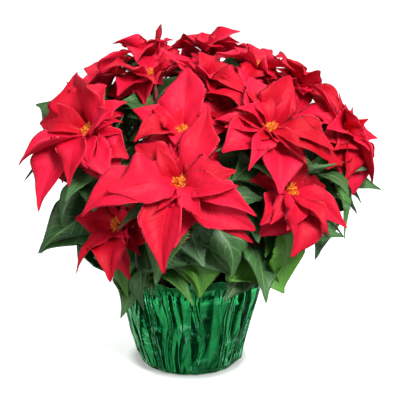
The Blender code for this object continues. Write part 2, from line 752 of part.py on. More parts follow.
def clean_faces(part):
    """Merges corners that fell together, drops loose scraps and fills hollows sealed in the union."""
    shape = bmesh.new()
    shape.from_mesh(part.data)
    bmesh.ops.remove_doubles(shape, verts=shape.verts, dist=0.004 * MM)
    bmesh.ops.dissolve_degenerate(shape, edges=shape.edges, dist=0.004 * MM)
    bodies, left = [], set(shape.verts)
    while left:
        body = linked_corners(next(iter(left)))
        bodies.append(body)
        left -= body
    largest = max(bodies, key=len)
    bmesh.ops.delete(shape, geom=[corner for body in bodies if body is not largest
                                  for corner in body], context="VERTS")
    bmesh.ops.dissolve_limit(shape, angle_limit=math.radians(0.05), verts=shape.verts,
                             edges=shape.edges)
    bmesh.ops.triangulate(shape, faces=shape.faces)
    shape.to_mesh(part.data)
    shape.free()


def fused(name, base, pieces, collection):
    """One solid from a base and the pieces that grow from it, by a union on a collection."""
    part = new_object(name, *base, collection)
    repeats = bpy.data.collections.new(name + "_repeats")
    bpy.context.scene.collection.children.link(repeats)
    for index, (vertices, faces) in enumerate(pieces):
        new_object(f"{name}_repeat_{index}", vertices, faces, repeats)
    union = part.modifiers.new("Fuse", "BOOLEAN")
    union.operation = "UNION"
    union.operand_type = "COLLECTION"
    union.collection = repeats
    union.solver = "MANIFOLD"        # the exact one leaves open edges where many blades meet
    apply_modifiers(part)
    part.data.materials.clear()
    for piece in list(repeats.objects):
        bpy.data.objects.remove(piece, do_unlink=True)
    bpy.data.collections.remove(repeats)
    clean_faces(part)
    return part


def make_foil(collection, finish):
    """The foil: pleated from the flat base up to a pinched neck, then a flared collar."""
    surface = foil_surface()
    rows = (len(surface) - 1) // FOIL_COLUMNS
    foil = new_object("foil_wrap", surface, foil_faces(rows), collection)
    solidify = foil.modifiers.new("Thickness", "SOLIDIFY")
    solidify.thickness = FOIL_THICKNESS
    solidify.offset = -1.0
    foil.data.materials.append(finish)
    return foil


def pot_profile():
    """The grow pot's section, from the outer edge of its base up and over the rim to the inside."""
    lowest = FOIL_THICKNESS + GAP
    inner_base = lowest + POT_WALL
    wall = POT_WALL
    rim = POT_RIM_RADIUS
    return (
        (0.0, lowest), (POT_BASE_RADIUS - POT_BASE_BEVEL, lowest),
        (POT_BASE_RADIUS, lowest + 0.45 * POT_BASE_BEVEL), (rim - 5 * MM, POT_HEIGHT - 14 * MM),
        (rim - 0.8 * MM, POT_HEIGHT - 13 * MM), (rim - 0.2 * MM, POT_HEIGHT),
        (rim - 2.0 * MM, POT_HEIGHT), (rim - 5 * MM - wall, POT_HEIGHT - 14 * MM),
        (POT_BASE_RADIUS - wall, inner_base + 0.45 * POT_BASE_BEVEL),
        (POT_BASE_RADIUS - POT_BASE_BEVEL, inner_base), (0.0, inner_base),
    )


def pot_inside(height):
    """Radius of the pot's inner wall at a height between its bevel and its rim."""
    (low_radius, low), (high_radius, high) = pot_profile()[8], pot_profile()[7]
    return low_radius + (high_radius - low_radius) * (height - low) / (high - low)


def lathe(name, profile, sides, collection):
    """A turned solid: the profile runs from the axis out, up and back to the axis."""
    part = new_object(name, [(x, 0.0, z) for x, z in profile], [], collection)
    shape = bmesh.new()
    shape.from_mesh(part.data)
    shape.verts.ensure_lookup_table()
    for low, high in zip(shape.verts[:-1], shape.verts[1:]):
        shape.edges.new((high, low))
    shape.to_mesh(part.data)
    shape.free()
    screw = part.modifiers.new("Turn", "SCREW")
    screw.steps = sides
    screw.render_steps = sides
    screw.use_merge_vertices = True
    screw.merge_threshold = 0.0001
    apply_modifiers(part)
    shape = bmesh.new()
    shape.from_mesh(part.data)
    bmesh.ops.remove_doubles(shape, verts=shape.verts, dist=0.01 * MM)
    bmesh.ops.recalc_face_normals(shape, faces=shape.faces)
    shape.to_mesh(part.data)
    shape.free()
    return part


def make_pot(collection, finish):
    """The plastic grow pot inside the foil."""
    pot = lathe("grow_pot", pot_profile(), POT_SIDES, collection)
    pot.data.materials.append(finish)
    return pot


def cut_away(part, name, vertices, faces, cutters):
    """Cuts a solid out of a part and takes the cutter away again."""
    cutter = new_object(name, vertices, faces, cutters)
    cutter.display_type = "WIRE"
    cutter.hide_render = True
    cut = part.modifiers.new("Cut", "BOOLEAN")
    cut.operation = "DIFFERENCE"
    cut.object = cutter
    apply_modifiers(part)
    bpy.data.objects.remove(cutter, do_unlink=True)


def make_soil(collection, cutters, finish):
    """The peat that fills the pot, a little heaped, with a plain hole for each woody stem."""
    edge = SOIL_LEVEL - SOIL_EDGE
    aside = 1.2 * GAP
    (corner_radius, corner), (floor_radius, floor) = pot_profile()[8:10]
    top_radius = pot_inside(edge) - aside
    profile = ((0.0, floor + GAP), (floor_radius - aside, floor + GAP),
               (corner_radius - aside, corner + GAP), (top_radius, edge),
               (0.6 * top_radius, SOIL_LEVEL), (0.0, SOIL_LEVEL + SOIL_HEAP))
    soil = lathe("soil", profile, POT_SIDES, collection)
    for name, (x, y) in PLANTS.items():
        foot = np.array((x * MM, y * MM, STEM_FOOT - GAP))
        above = np.array((x * MM, y * MM, STEM_TOP))
        hole = tube(np.array([foot, above]), (STEM_RADIUS + GAP,) * 2, STEM_SIDES)
        cut_away(soil, "hole_" + name, *hole, cutters)
    soil.data.materials.append(finish)
    return soil


def woody_stem(plant):
    """The main stem of a plant, from its hole in the soil to a blunt top."""
    x, y = PLANTS[plant]
    heights = (STEM_FOOT, SOIL_LEVEL + SOIL_EDGE, STEM_TOP - STEM_SHOULDER, STEM_TOP)
    points = np.array([(x * MM, y * MM, height) for height in heights])
    radii = [share * STEM_RADIUS for share in (0.96, 0.96, 0.8, 0.45)]
    return tube(points, radii, STEM_SIDES)


def mesh_data(part):
    """World vertices and polygons of an object as its modifiers leave it."""
    depsgraph = bpy.context.evaluated_depsgraph_get()
    mesh = part.evaluated_get(depsgraph).to_mesh()
    vertices = [tuple(vertex.co) for vertex in mesh.vertices]
    faces = [tuple(polygon.vertices) for polygon in mesh.polygons]
    return vertices, faces


def make_holder(pieces, cutters):
    """The foil, the pot in it and the soil in the pot."""
    return [
        make_foil(pieces, material("foil_green", FOIL_GREEN, 0.25, 1.0)),
        make_pot(pieces, material("pot_green", POT_GREEN, 0.5)),
        make_soil(pieces, cutters, material("peat", PEAT, 0.95)),
    ]


def make_plants(pieces, stems, leaves):
    """One green solid for each plant: its woody stem, its branches and their leaves."""
    green = material("leaf_green", LEAF_GREEN, 0.5)
    for plant, (trunk, *branches) in stems.items():
        part = fused(f"plant_{plant}_green", trunk,
                     branches + [blade_solid(blade) for blade in leaves[plant]], pieces)
        part.data.materials.append(green)


def make_blooms(pieces, hubs, blooms, clusters):
    """Two solids for each bloom: its red bracts on their hub, and its cluster of cyathia."""
    red = material("bract_red", RED, 0.55)
    yellow = material("cyathium_yellow", CYATHIUM_YELLOW, 0.5)
    for name, bracts in blooms.items():
        part = fused(f"bloom_{name}_bracts", hubs[name],
                     [blade_solid(blade) for blade in bracts], pieces)
        part.data.materials.append(red)
        cushion, urns = clusters[name]
        part = fused(f"bloom_{name}_cyathia", cushion, urns, pieces)
        part.data.materials.append(yellow)


def main():
    """Clears the scene and builds every piece."""
    for old in list(bpy.data.objects):
        bpy.data.objects.remove(old, do_unlink=True)
    pieces = bpy.data.collections.new("poinsettia")
    cutters = bpy.data.collections.new("cutters")
    for collection in (pieces, cutters):
        bpy.context.scene.collection.children.link(collection)

    branches = {name: branch_line(name) for name in BLOOMS}
    stems = {plant: [woody_stem(plant)] for plant in PLANTS}
    hubs, clusters = {}, {}
    for name, (points, radii) in branches.items():
        centre, axis = centre_of(name), facing(centre_of(name))
        stems[BLOOMS[name][0]].append(tube(points, radii, BRANCH_SIDES, axis))
        hubs[name] = hub_solid(centre, axis)
        clusters[name] = cyathia_solids(centre, axis, random.Random("cyathia " + name))

    crowd = Crowd()
    crowd.add(mesh_data(part) for part in make_holder(pieces, cutters))
    crowd.add(solid for cushion, urns in clusters.values() for solid in (cushion, *urns))
    blooms = settled_blooms(crowd, stems, hubs)
    leaves = settled_leaves(branches, crowd, stems)

    make_plants(pieces, stems, leaves)
    make_blooms(pieces, hubs, blooms, clusters)
    for part in pieces.objects:
        part.data.shade_smooth()
        part.data.set_sharp_from_angle(angle=math.radians(40))


main()
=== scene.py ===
import logging
import math
import random
from dataclasses import dataclass, field, replace
from functools import lru_cache
from typing import Iterable, NamedTuple, Optional

import bpy
import numpy as np
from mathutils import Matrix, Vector
from mathutils.bvhtree import BVHTree


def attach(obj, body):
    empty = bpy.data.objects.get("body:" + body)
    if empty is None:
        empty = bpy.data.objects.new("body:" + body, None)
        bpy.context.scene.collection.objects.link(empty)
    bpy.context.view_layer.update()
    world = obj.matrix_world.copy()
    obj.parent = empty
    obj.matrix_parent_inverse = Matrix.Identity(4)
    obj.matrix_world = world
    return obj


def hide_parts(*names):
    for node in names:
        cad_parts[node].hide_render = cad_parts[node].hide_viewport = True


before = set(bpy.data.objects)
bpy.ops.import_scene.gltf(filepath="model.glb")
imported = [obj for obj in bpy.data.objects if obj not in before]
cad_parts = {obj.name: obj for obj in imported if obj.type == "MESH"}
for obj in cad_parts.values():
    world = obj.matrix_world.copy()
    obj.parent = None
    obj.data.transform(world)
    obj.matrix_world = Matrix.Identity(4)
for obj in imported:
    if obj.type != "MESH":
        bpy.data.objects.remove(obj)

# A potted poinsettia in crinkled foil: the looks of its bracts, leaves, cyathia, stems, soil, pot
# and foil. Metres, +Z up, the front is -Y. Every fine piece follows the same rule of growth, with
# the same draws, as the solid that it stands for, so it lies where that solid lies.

log = logging.getLogger("poinsettia")
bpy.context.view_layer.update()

# Driving values of the solids, in metres unless the name or a comment says another unit
MM = 0.001
GAP = 0.3 * MM
SOIL_LEVEL = 90 * MM
SOIL_HEAP = 1.5 * MM
SOIL_RADIUS = 73.0 * MM
GRAIN_REACH = 70 * MM
FOIL_COLUMNS = 36
FOIL_PLEAT = 1.7 * MM
# Rows of the foil: radius and height in mm, and share of the pleats' depth. The lip's corners and
# waves add to its first two
FOIL_BODY = ((50.0, 0.0, 0.0), (58.5, 1.8, 0.35), (62.0, 8.0, 0.8), (74.2, 52.0, 1.0),
             (86.0, 97.0, 1.0), (83.6, 105.5, 0.75))
FOIL_COLLAR = 1.3
FOIL_LIP = (98.0, 129.0, 1.7)
FOIL_CORNER = (30.0, 3.0)
FOIL_WAVE = (2.0, 3.0)
FOIL_HEIGHT = 132 * MM
LIP_ROW = 7
STEM_RADIUS = 5.5 * MM
STEM_FOOT = 60 * MM
STEM_TOP = 126 * MM
STEM_SIDES = 8
STEM_SHOULDER = 6 * MM
SOIL_EDGE = 4 * MM
FORK_DEPTH = (4 * MM, 28 * MM)
BRANCH_RADIUS = 2.7 * MM
BRANCH_SIDES = 5
BRANCH_STEPS = 4
# A branch's guide points: how far out and up the first lies, how far behind the end the second
# does, as shares of its span, and how much steeper than the bloom it arrives
LEAVE_OUT, LEAVE_UP = 0.22, 0.28
ARRIVE_BACK, ARRIVE_STEEP = 0.34, 0.35
HUB_RADIUS = 4.6 * MM
HUB_HEIGHT = 10.0 * MM
HUB_SIDES = 6
CYATHIUM_RING = 5
CYATHIUM_SIDES = 4
CYATHIUM_RADIUS = 2.1 * MM
CYATHIUM_LENGTH = 6.5 * MM
CLUSTER_RADIUS = 4.6 * MM
CUSHION_HEIGHT_MM = 2.6
CUSHION_FOOT = 2.6 * MM
CUSHION_RIM = CLUSTER_RADIUS + 0.6 * MM
# How deep and how far out in the cushion an urn stands, and how far it leans
URN_DEPTH_MM = 1.4
URN_PLACE = 0.66
URN_LEAN = 0.55
BLADE_CLEARANCE = 0.45 * MM
TRIES = 160
ROOT_SHARE = 0.35
GOLDEN_ANGLE = math.radians(137.508)
VIEW_TILT = math.radians(18)
MOST_TURN = math.radians(26)
MOST_LIFT = math.radians(38)
MOST_ROLL = math.radians(32)
MOST_TWIST = math.radians(30)
MOST_ARCH = 0.16
MOST_SHRINKAGE = 0.42
RIGHT = np.array((1.0, 0.0, 0.0))
UP = np.array((0.0, math.sin(VIEW_TILT), math.cos(VIEW_TILT)))
TOWARDS = np.array((0.0, -math.cos(VIEW_TILT), math.sin(VIEW_TILT)))
VERTICAL = np.array((0.0, 0.0, 1.0))
DOME_CENTRE = np.array((0.0, 0.0, 150.0)) * MM

# Where along a blade its width starts, and the powers with which it rises and falls
LEAF_WIDTH = (0.25, 0.62, 1.05)
BRACT_WIDTH = (0.06, 1.0, 0.95)
# Stations of a blade's rings, and its thickness there in mm
BRACT_RINGS = ((0.29, 1.4), (0.62, 1.1))
SMALL_BRACT_RINGS = ((0.46, 1.4),)
LEAF_RINGS = ((0.29, 2.0), (0.59, 1.2))
SMALL_BRACT = 57 * MM
ROOT_THICKNESS = 1.2 * MM
# How rough an edge is, as a share of the width, and the most that a blade's own draws change
LEAF_ROUGHNESS = 0.10
BRACT_ROUGHNESS = 0.16
OWN_CURL = 0.20
OWN_SWAY = 0.07
OWN_ROLL = math.radians(12)
OWN_TWIST = math.radians(28)
OWN_FOLD_DEGREES = (2, 20)
# Where bracts leave the hub, as shares of its height and radius
ROOT_DEPTH = 0.82
ROOT_RISE = 0.68
ROOT_OFFSET = 0.4
# Bracts by the golden angle: the share from which on they are inner ones, angles tried, the first
# angle, and lift in degrees and share of the reach of either kind
INNER_BRACTS = 0.6
SPIRAL_STEPS = 80
SPIRAL_START = 0.6
INNER_LIFT, OUTER_LIFT = (26, 44), (-16, 10)
INNER_REACH, OUTER_REACH = (0.52, 0.7), (0.86, 1.04)

Vec = np.ndarray
Solid = tuple[np.ndarray, list[tuple[int, ...]]]


def size_of(vector: Vec) -> float:
    """The vector's length."""
    return math.sqrt(float((vector * vector).sum()))


def unit(vector: Vec) -> Vec:
    """The vector at length 1."""
    return vector / size_of(vector)


def units(vectors: np.ndarray) -> np.ndarray:
    """Each row at length 1."""
    return vectors / np.sqrt((vectors * vectors).sum(axis=1))[:, None]


def turned(vector: Vec, axis: Vec, angle: float) -> Vec:
    """The vector turned about a unit axis."""
    along = axis * float((vector * axis).sum())
    return along + (vector - along) * math.cos(angle) + np.cross(axis, vector) * math.sin(angle)


def square_to(direction: Vec, axis: Vec) -> Vec:
    """The part of a direction that is square to a unit axis, at length 1."""
    rest = direction - axis * float((direction * axis).sum())
    if float((rest * rest).sum()) < 1e-6:
        rest = np.cross(axis, RIGHT) + 1e-3 * VERTICAL
    return unit(rest)


def square_pair(axis: Vec, towards: Vec = RIGHT) -> tuple[Vec, Vec]:
    """Two directions square to a unit axis and to each other, the first close to another one."""
    first = square_to(towards, axis)
    return first, np.cross(axis, first)


def outward_at(angle: float, pair: tuple[Vec, Vec]) -> Vec:
    """The direction at an angle round an axis, given two directions square to that axis."""
    first, second = pair
    return math.cos(angle) * first + math.sin(angle) * second


def width_share(station: float, is_leaf: bool) -> float:
    """Half width at a station from 0, the root, to 1, the tip, as a share of the widest."""
    start, rise, fall = LEAF_WIDTH if is_leaf else BRACT_WIDTH
    along = max(0.0, (station - start) / (1.0 - start))
    if along >= 1.0:
        return 0.0
    peak = rise / (rise + fall)
    top = peak ** rise * (1.0 - peak) ** fall
    return along ** rise * (1.0 - along) ** fall / top


@dataclass(frozen=True)
class Blade:
    """A bract or a leaf: a thin blade along an arched midrib, from its root to its tip."""
    root: Vec
    tip: Vec
    up: Vec
    half_width: float
    arch: float
    sway: float
    roll: float
    twist: float
    fold: float
    rings: tuple
    edges: tuple
    curls: tuple
    is_leaf: bool

    @property
    def length(self) -> float:
        """Distance from the root to the tip."""
        return size_of(self.tip - self.root)

    def spine(self, stations: np.ndarray) -> tuple[np.ndarray, ...]:
        """The midrib and the blade's own directions at stations from 0 to 1.

        The midrib is the chord, raised by arch times a parabola and bowed aside by sway times the
        same parabola. The direction across it turns by roll plus twist times the station.

        Args:
            stations: Shares of the length.

        Returns:
            Points of the midrib, directions along it, across it and out of its upper face.
        """
        along = (self.tip - self.root) / self.length
        upward = square_to(self.up, along)
        sideways = np.cross(along, upward)
        t = stations[:, None]
        bump, slope = 4 * t * (1 - t), 4 * (1 - 2 * t)
        middle = self.root + self.length * (t * along + self.arch * bump * upward
                                            + self.sway * bump * sideways)
        tangent = units(along + self.arch * slope * upward + self.sway * slope * sideways)
        angles = [self.roll + self.twist * float(station) for station in stations]
        cosines = np.array([math.cos(angle) for angle in angles])[:, None]
        sines = np.array([math.sin(angle) for angle in angles])[:, None]
        across = cosines * sideways - sines * upward
        across = units(across - tangent * (across * tangent).sum(axis=1)[:, None])
        return middle, tangent, across, np.cross(across, tangent)

    def solid(self, extra: float = 0.0, start: float = 0.0) -> Solid:
        """The blade as its solid has it: an upright root edge, rings of four points and the tip.

        Args:
            extra: How far it is grown on every side, for testing its distance to others.
            start: The share of the stalk that is left out.

        Returns:
            Vertices and triangles.
        """
        stations = np.array([station for station, _ in self.rings])
        thickness = np.array([thick for _, thick in self.rings]) * MM / 2 + extra
        along = (self.tip - self.root) / self.length
        upward = square_to(self.up, along)
        middle, _, across, normal = self.spine(stations)
        shares = [self.half_width * width_share(station, self.is_leaf) for station in stations]
        left, right = (np.array([max(ROOT_THICKNESS, share * edge) + extra
                                 for share, edge in zip(shares, edges)])[:, None]
                       for edges in self.edges)
        lift_left, lift_right = (np.array(curls)[:, None] for curls in self.curls)
        flat, steep = math.cos(self.fold), math.sin(self.fold)
        rings = np.empty((len(stations), 4, 3))
        rings[:, 0] = middle - across * left * flat + normal * left * (steep + lift_left)
        rings[:, 1] = middle + normal * thickness[:, None]
        rings[:, 2] = middle + across * right * flat + normal * right * (steep + lift_right)
        rings[:, 3] = middle - normal * thickness[:, None]
        root = self.root + start * (middle[0] - self.root)
        half = upward * (ROOT_THICKNESS / 2 + extra)
        vertices = np.vstack((root + half, root - half, rings.reshape(-1, 3),
                              self.tip + along * extra))
        return vertices, blade_triangles(len(self.rings))

    def moved(self, axis: Vec, spread: float, rng: random.Random) -> "Blade":
        """The blade bent to another place nearby, further away the larger the spread."""
        chord = self.tip - self.root
        turn = MOST_TURN * spread * rng.uniform(-1, 1)
        lift = MOST_LIFT * spread * rng.uniform(-1, 1)
        size = 1 - MOST_SHRINKAGE * spread * rng.random()
        hinge = unit(np.cross(chord, axis))
        chord = turned(turned(chord, axis, turn), hinge, lift) * size
        return replace(
            self, tip=self.root + chord, half_width=self.half_width * size,
            arch=self.arch + MOST_ARCH * spread * rng.uniform(-1, 1),
            roll=self.roll + MOST_ROLL * spread * rng.uniform(-1, 1),
            twist=self.twist + MOST_TWIST * spread * rng.uniform(-1, 1))


@lru_cache
def blade_triangles(ring_count: int) -> list[tuple[int, ...]]:
    """Triangles of a blade's solid, split alike on its upper and lower face."""
    upper, lower, left, top, right, bottom = range(6)
    faces = [(upper, top, left), (upper, right, top), (lower, left, bottom),
             (lower, bottom, right), (upper, left, lower), (upper, lower, right)]
    for ring in range(ring_count - 1):
        here, there = 4 * ring + 2, 4 * ring + 6
        for side in (0, 2):
            a, b, c, d = here + side, here + side + 1, there + side + 1, there + side
            faces += [(a, b, d), (b, c, d)]
        for side in (1, 3):
            a, b = here + side, here + (side + 1) % 4
            c, d = there + (side + 1) % 4, there + side
            faces += [(a, b, c), (a, c, d)]
    last, tip = 4 * ring_count - 2, 4 * ring_count + 2
    return faces + [(last + side, last + (side + 1) % 4, tip) for side in range(4)]


class Crowd:
    """Triangles of everything that is already in its place."""

    def __init__(self) -> None:
        """Starts with nothing."""
        self.vertices: list[tuple[float, ...]] = []
        self.faces: list[tuple[int, ...]] = []

    def add(self, solids: Iterable[Solid]) -> None:
        """Adds solids, each given as its vertices and faces."""
        for vertices, faces in solids:
            start = len(self.vertices)
            self.vertices += [tuple(vertex) for vertex in vertices]
            self.faces += [tuple(start + corner for corner in face) for face in faces]

    def joined_by(self, solids: Iterable[Solid]) -> "Crowd":
        """A new crowd that holds these solids too."""
        crowd = Crowd()
        crowd.add([(self.vertices, self.faces)])
        crowd.add(solids)
        return crowd

    def tree(self) -> Optional[BVHTree]:
        """A search tree of all triangles so far, or None where there are none."""
        if not self.faces:
            return None
        return BVHTree.FromPolygons(self.vertices, self.faces)


def crossings(tree: Optional[BVHTree], solid: Solid) -> int:
    """How many triangles of a solid cross those of a tree, counted in pairs."""
    if tree is None:
        return 0
    vertices, faces = solid
    other = BVHTree.FromPolygons([tuple(vertex) for vertex in vertices], faces)
    return len(tree.overlap(other))


def settled_blade(blade: Blade, axis: Vec, others: Optional[BVHTree], own: Crowd,
                  rng: random.Random, tries: int = TRIES, clearance: float = BLADE_CLEARANCE,
                  most_crossings: int = 10 ** 6, leeway: int = 0) -> Optional[Blade]:
    """The nearest place for a blade that is clear of the others, and of its own if it can be.

    Args:
        blade: The blade at its first place.
        axis: What it is turned about.
        others: What it may not touch.
        own: Blades of its own bloom or plant, which it should cross as little as it can.
        rng: The draws of the moves.
        tries: How many places it may try.
        clearance: How far it keeps from the others.
        most_crossings: With how many crossings of its own it may still stay.
        leeway: How many crossings of its own count as none. Of the others, half as many do.

    Returns:
        The blade at its place, or None where no place is clear.
    """
    own_tree = own.tree()
    best, best_count = None, None
    for attempt in range(tries):
        trial = blade if attempt == 0 else blade.moved(axis, attempt / tries, rng)
        if crossings(others, trial.solid(extra=clearance)) > leeway // 2:
            continue
        count = crossings(own_tree, trial.solid(start=ROOT_SHARE))
        if count <= most_crossings and (best_count is None or count < best_count):
            best, best_count = trial, count
        if count <= leeway:
            break
    return best


def settled_blades(wanted: Iterable[Blade], axis: Optional[Vec], others: Optional[BVHTree],
                   own: Crowd, rng: random.Random, *limits: float) -> list[Blade]:
    """Settles one blade after another, clear of the others and of those before it.

    Args:
        wanted: The blades at their first places.
        axis: What they are turned about, or None for each one's own upward direction.
        others: What they may not touch.
        own: Their own kind so far, which those that find a place join.
        rng: The draws of the moves.
        limits: As settled_blade takes them from its tries on.

    Returns:
        The blades that found a place.
    """
    kept = []
    for blade in wanted:
        around = blade.up if axis is None else axis
        settled = settled_blade(blade, around, others, own, rng, *limits)
        if settled is not None:
            kept.append(settled)
            own.add([settled.solid(start=ROOT_SHARE)])
    return kept


def blade_draws(rng: random.Random, is_leaf: bool, length: float) -> dict:
    """The seeded draws that make each blade differ: edge shoulders, curls, twist and fold."""
    rough = LEAF_ROUGHNESS if is_leaf else BRACT_ROUGHNESS
    rings = LEAF_RINGS if is_leaf else SMALL_BRACT_RINGS if length < SMALL_BRACT else BRACT_RINGS
    edges = tuple(tuple(1 + rough * rng.uniform(-1, 1.3) for _ in rings) for _ in range(2))
    curls = tuple(tuple(OWN_CURL * rng.uniform(-1, 1) for _ in rings) for _ in range(2))
    return dict(rings=rings, edges=edges, curls=curls, sway=OWN_SWAY * rng.uniform(-1, 1),
                roll=OWN_ROLL * rng.uniform(-1, 1), twist=OWN_TWIST * rng.uniform(-1, 1),
                fold=math.radians(rng.uniform(*OWN_FOLD_DEGREES)))


def curve_points(start: Vec, leave: Vec, arrive: Vec, end: Vec, steps: int) -> np.ndarray:
    """Points of a cubic curve between two ends with their two guide points."""
    points = []
    for step in range(steps + 1):
        t = step / steps
        s = 1 - t
        points.append(s ** 3 * start + 3 * s * s * t * leave + 3 * s * t * t * arrive
                      + t ** 3 * end)
    return np.array(points)


def tube(points: np.ndarray, radii: Iterable[float], sides: int,
         end_axis: Optional[Vec] = None) -> Solid:
    """A closed tube along points. Its far end is square to end_axis, if given."""
    tangents = np.gradient(points, axis=0)
    if end_axis is not None:
        tangents[-1] = end_axis
    vertices = []
    for point, tangent, radius in zip(points, tangents, radii):
        pair = square_pair(unit(tangent))
        for side in range(sides):
            vertices.append(point + radius * outward_at(2 * math.pi * side / sides, pair))
    faces = []
    for step in range(len(points) - 1):
        for side in range(sides):
            after = (side + 1) % sides
            a, b = step * sides + side, step * sides + after
            faces += [(a, b, b + sides), (a, b + sides, a + sides)]
    last = (len(points) - 1) * sides
    faces += [(0, side + 1, side) for side in range(1, sides - 1)]
    faces += [(last, last + side, last + side + 1) for side in range(1, sides - 1)]
    return np.array(vertices), faces


@dataclass(frozen=True)
class Cyathium:
    """One small flower of a cluster: where it stands, which way, how wide and how long it is."""
    base: Vec
    axis: Vec
    radius: float
    length: float

    def solid(self) -> Solid:
        """A small urn, widest above its middle, with a pointed top."""
        pair = square_pair(self.axis)
        vertices = [self.base]
        for side in range(CYATHIUM_SIDES):
            outward = outward_at(2 * math.pi * side / CYATHIUM_SIDES, pair)
            vertices.append(self.base + self.axis * 0.62 * self.length + self.radius * outward)
        vertices.append(self.base + self.axis * self.length)
        faces = []
        for side in range(CYATHIUM_SIDES):
            here, after = 1 + side, 1 + (side + 1) % CYATHIUM_SIDES
            faces += [(0, after, here), (here, after, CYATHIUM_SIDES + 1)]
        return np.array(vertices), faces


@dataclass
class Bloom:
    """A rosette of bracts round a cluster of cyathia, at the end of a branch.

    shown lists given bracts: clock angle in the usual view, reach across it in mm, how
    far the tip comes towards the eye in mm, and full width in mm.
    """
    name: str
    plant: str
    centre_mm: tuple[float, float, float]
    count: int
    reach: float
    shown: tuple[tuple[float, float, float, float], ...] = ()
    bracts: list[Blade] = field(default_factory=list)
    small_bracts: list[Blade] = field(default_factory=list)

    @property
    def centre(self) -> Vec:
        """Where the cyathia stand, in metres."""
        return np.array(self.centre_mm, dtype=float) * MM

    @property
    def axis(self) -> Vec:
        """The way the bloom looks: outwards from the middle of the dome."""
        return unit(self.centre - DOME_CENTRE)

    def hub(self) -> Solid:
        """The end of the branch, coloured like the bracts: a squat tapered button."""
        points = np.array([self.centre - self.axis * HUB_HEIGHT, self.centre])
        return tube(points, (0.8 * HUB_RADIUS, HUB_RADIUS), HUB_SIDES)

    def cyathia(self) -> list[Cyathium]:
        """The cyathia of the cluster: one in the middle and a ring round it."""
        rng = random.Random("cyathia " + self.name)
        axis = self.axis
        pair = square_pair(axis)
        top = self.centre + axis * GAP + axis * CUSHION_HEIGHT_MM * MM
        foot = top - axis * URN_DEPTH_MM * MM
        urns = [Cyathium(foot, axis, CYATHIUM_RADIUS, CYATHIUM_LENGTH * rng.uniform(1.0, 1.2))]
        for index in range(CYATHIUM_RING):
            angle = 2 * math.pi * (index + 0.5 + rng.uniform(-0.1, 0.1)) / CYATHIUM_RING
            outward = outward_at(angle, pair)
            base = foot + outward * URN_PLACE * CLUSTER_RADIUS
            urns.append(Cyathium(base, unit(axis + URN_LEAN * outward),
                                 CYATHIUM_RADIUS * rng.uniform(0.85, 1.05),
                                 CYATHIUM_LENGTH * rng.uniform(0.8, 1.1)))
        return urns

    def cushion(self) -> Solid:
        """The cushion that the cluster grows on."""
        foot = self.centre + self.axis * GAP
        top = foot + self.axis * CUSHION_HEIGHT_MM * MM
        return tube(np.array([foot, top]), (CUSHION_FOOT, CUSHION_RIM), CYATHIUM_RING)

    def bract_root(self, tip: Vec, level: float) -> Vec:
        """Where a bract leaves the hub: on the side of its tip, at a level from 0, low, to 1."""
        side = square_to(tip - self.centre, self.axis)
        depth = (ROOT_DEPTH - ROOT_RISE * level) * HUB_HEIGHT
        return self.centre - self.axis * depth + side * ROOT_OFFSET * HUB_RADIUS

    def tip_at(self, clock: float, reach: float, towards: float) -> Vec:
        """A tip by its clock angle in degrees, its reach across the view and towards the eye."""
        angle = math.radians(clock)
        offset = reach * (math.cos(angle) * RIGHT + math.sin(angle) * UP) + towards * TOWARDS
        return self.centre + offset * MM

    def placed(self, rng: random.Random, tips: tuple) -> list[Blade]:
        """Bracts at the given tips, before they are settled."""
        bracts = []
        for index, (clock, reach, towards, width) in enumerate(tips):
            tip = self.tip_at(clock, reach, towards)
            root = self.bract_root(tip, index / max(1, len(tips) - 1))
            arch = 0.10 + 0.10 * rng.random()
            length = math.hypot(reach, towards) * MM
            bracts.append(Blade(root=root, tip=tip, up=self.axis, half_width=0.57 * width * MM,
                                arch=arch, is_leaf=False, **blade_draws(rng, False, length)))
        return bracts

    def spiral(self, taken: list[Blade], rng: random.Random) -> list[Blade]:
        """Bracts by the golden angle: outer ones long and level, inner ones short and steep."""
        centre, axis = self.centre, self.axis
        first, second = square_pair(axis)
        angles = [math.atan2(float((blade.tip - centre) @ second),
                             float((blade.tip - centre) @ first)) for blade in taken]
        bracts: list[Blade] = []
        step = 0
        while len(taken) + len(bracts) < self.count and step < SPIRAL_STEPS:
            angle = step * GOLDEN_ANGLE + SPIRAL_START
            step += 1
            room = 1.1 / (1 + 0.06 * step)
            if any(abs(math.remainder(angle - other, 2 * math.pi)) < room for other in angles):
                continue
            share = (len(taken) + len(bracts)) / self.count
            inner = share > INNER_BRACTS
            lift = math.radians(rng.uniform(*(INNER_LIFT if inner else OUTER_LIFT)))
            long = self.reach * rng.uniform(*(INNER_REACH if inner else OUTER_REACH))
            outward = outward_at(angle, (first, second))
            tip = centre + outward_at(lift, (outward, axis)) * long * MM
            bracts.append(Blade(root=self.bract_root(tip, share), tip=tip, up=axis,
                                half_width=long * MM * rng.uniform(0.26, 0.33),
                                arch=0.08 + 0.10 * rng.random(), is_leaf=False,
                                **blade_draws(rng, False, long * MM)))
            angles.append(angle)
        return bracts

    def settle(self, others: Optional[BVHTree]) -> None:
        """Finds the place of every bract, each bent clear of what stands already."""
        rng = random.Random("bracts " + self.name)
        wanted = self.placed(rng, self.shown)
        wanted += self.spiral(wanted, rng)
        self.bracts = settled_blades(wanted, self.axis, others, Crowd(), rng)


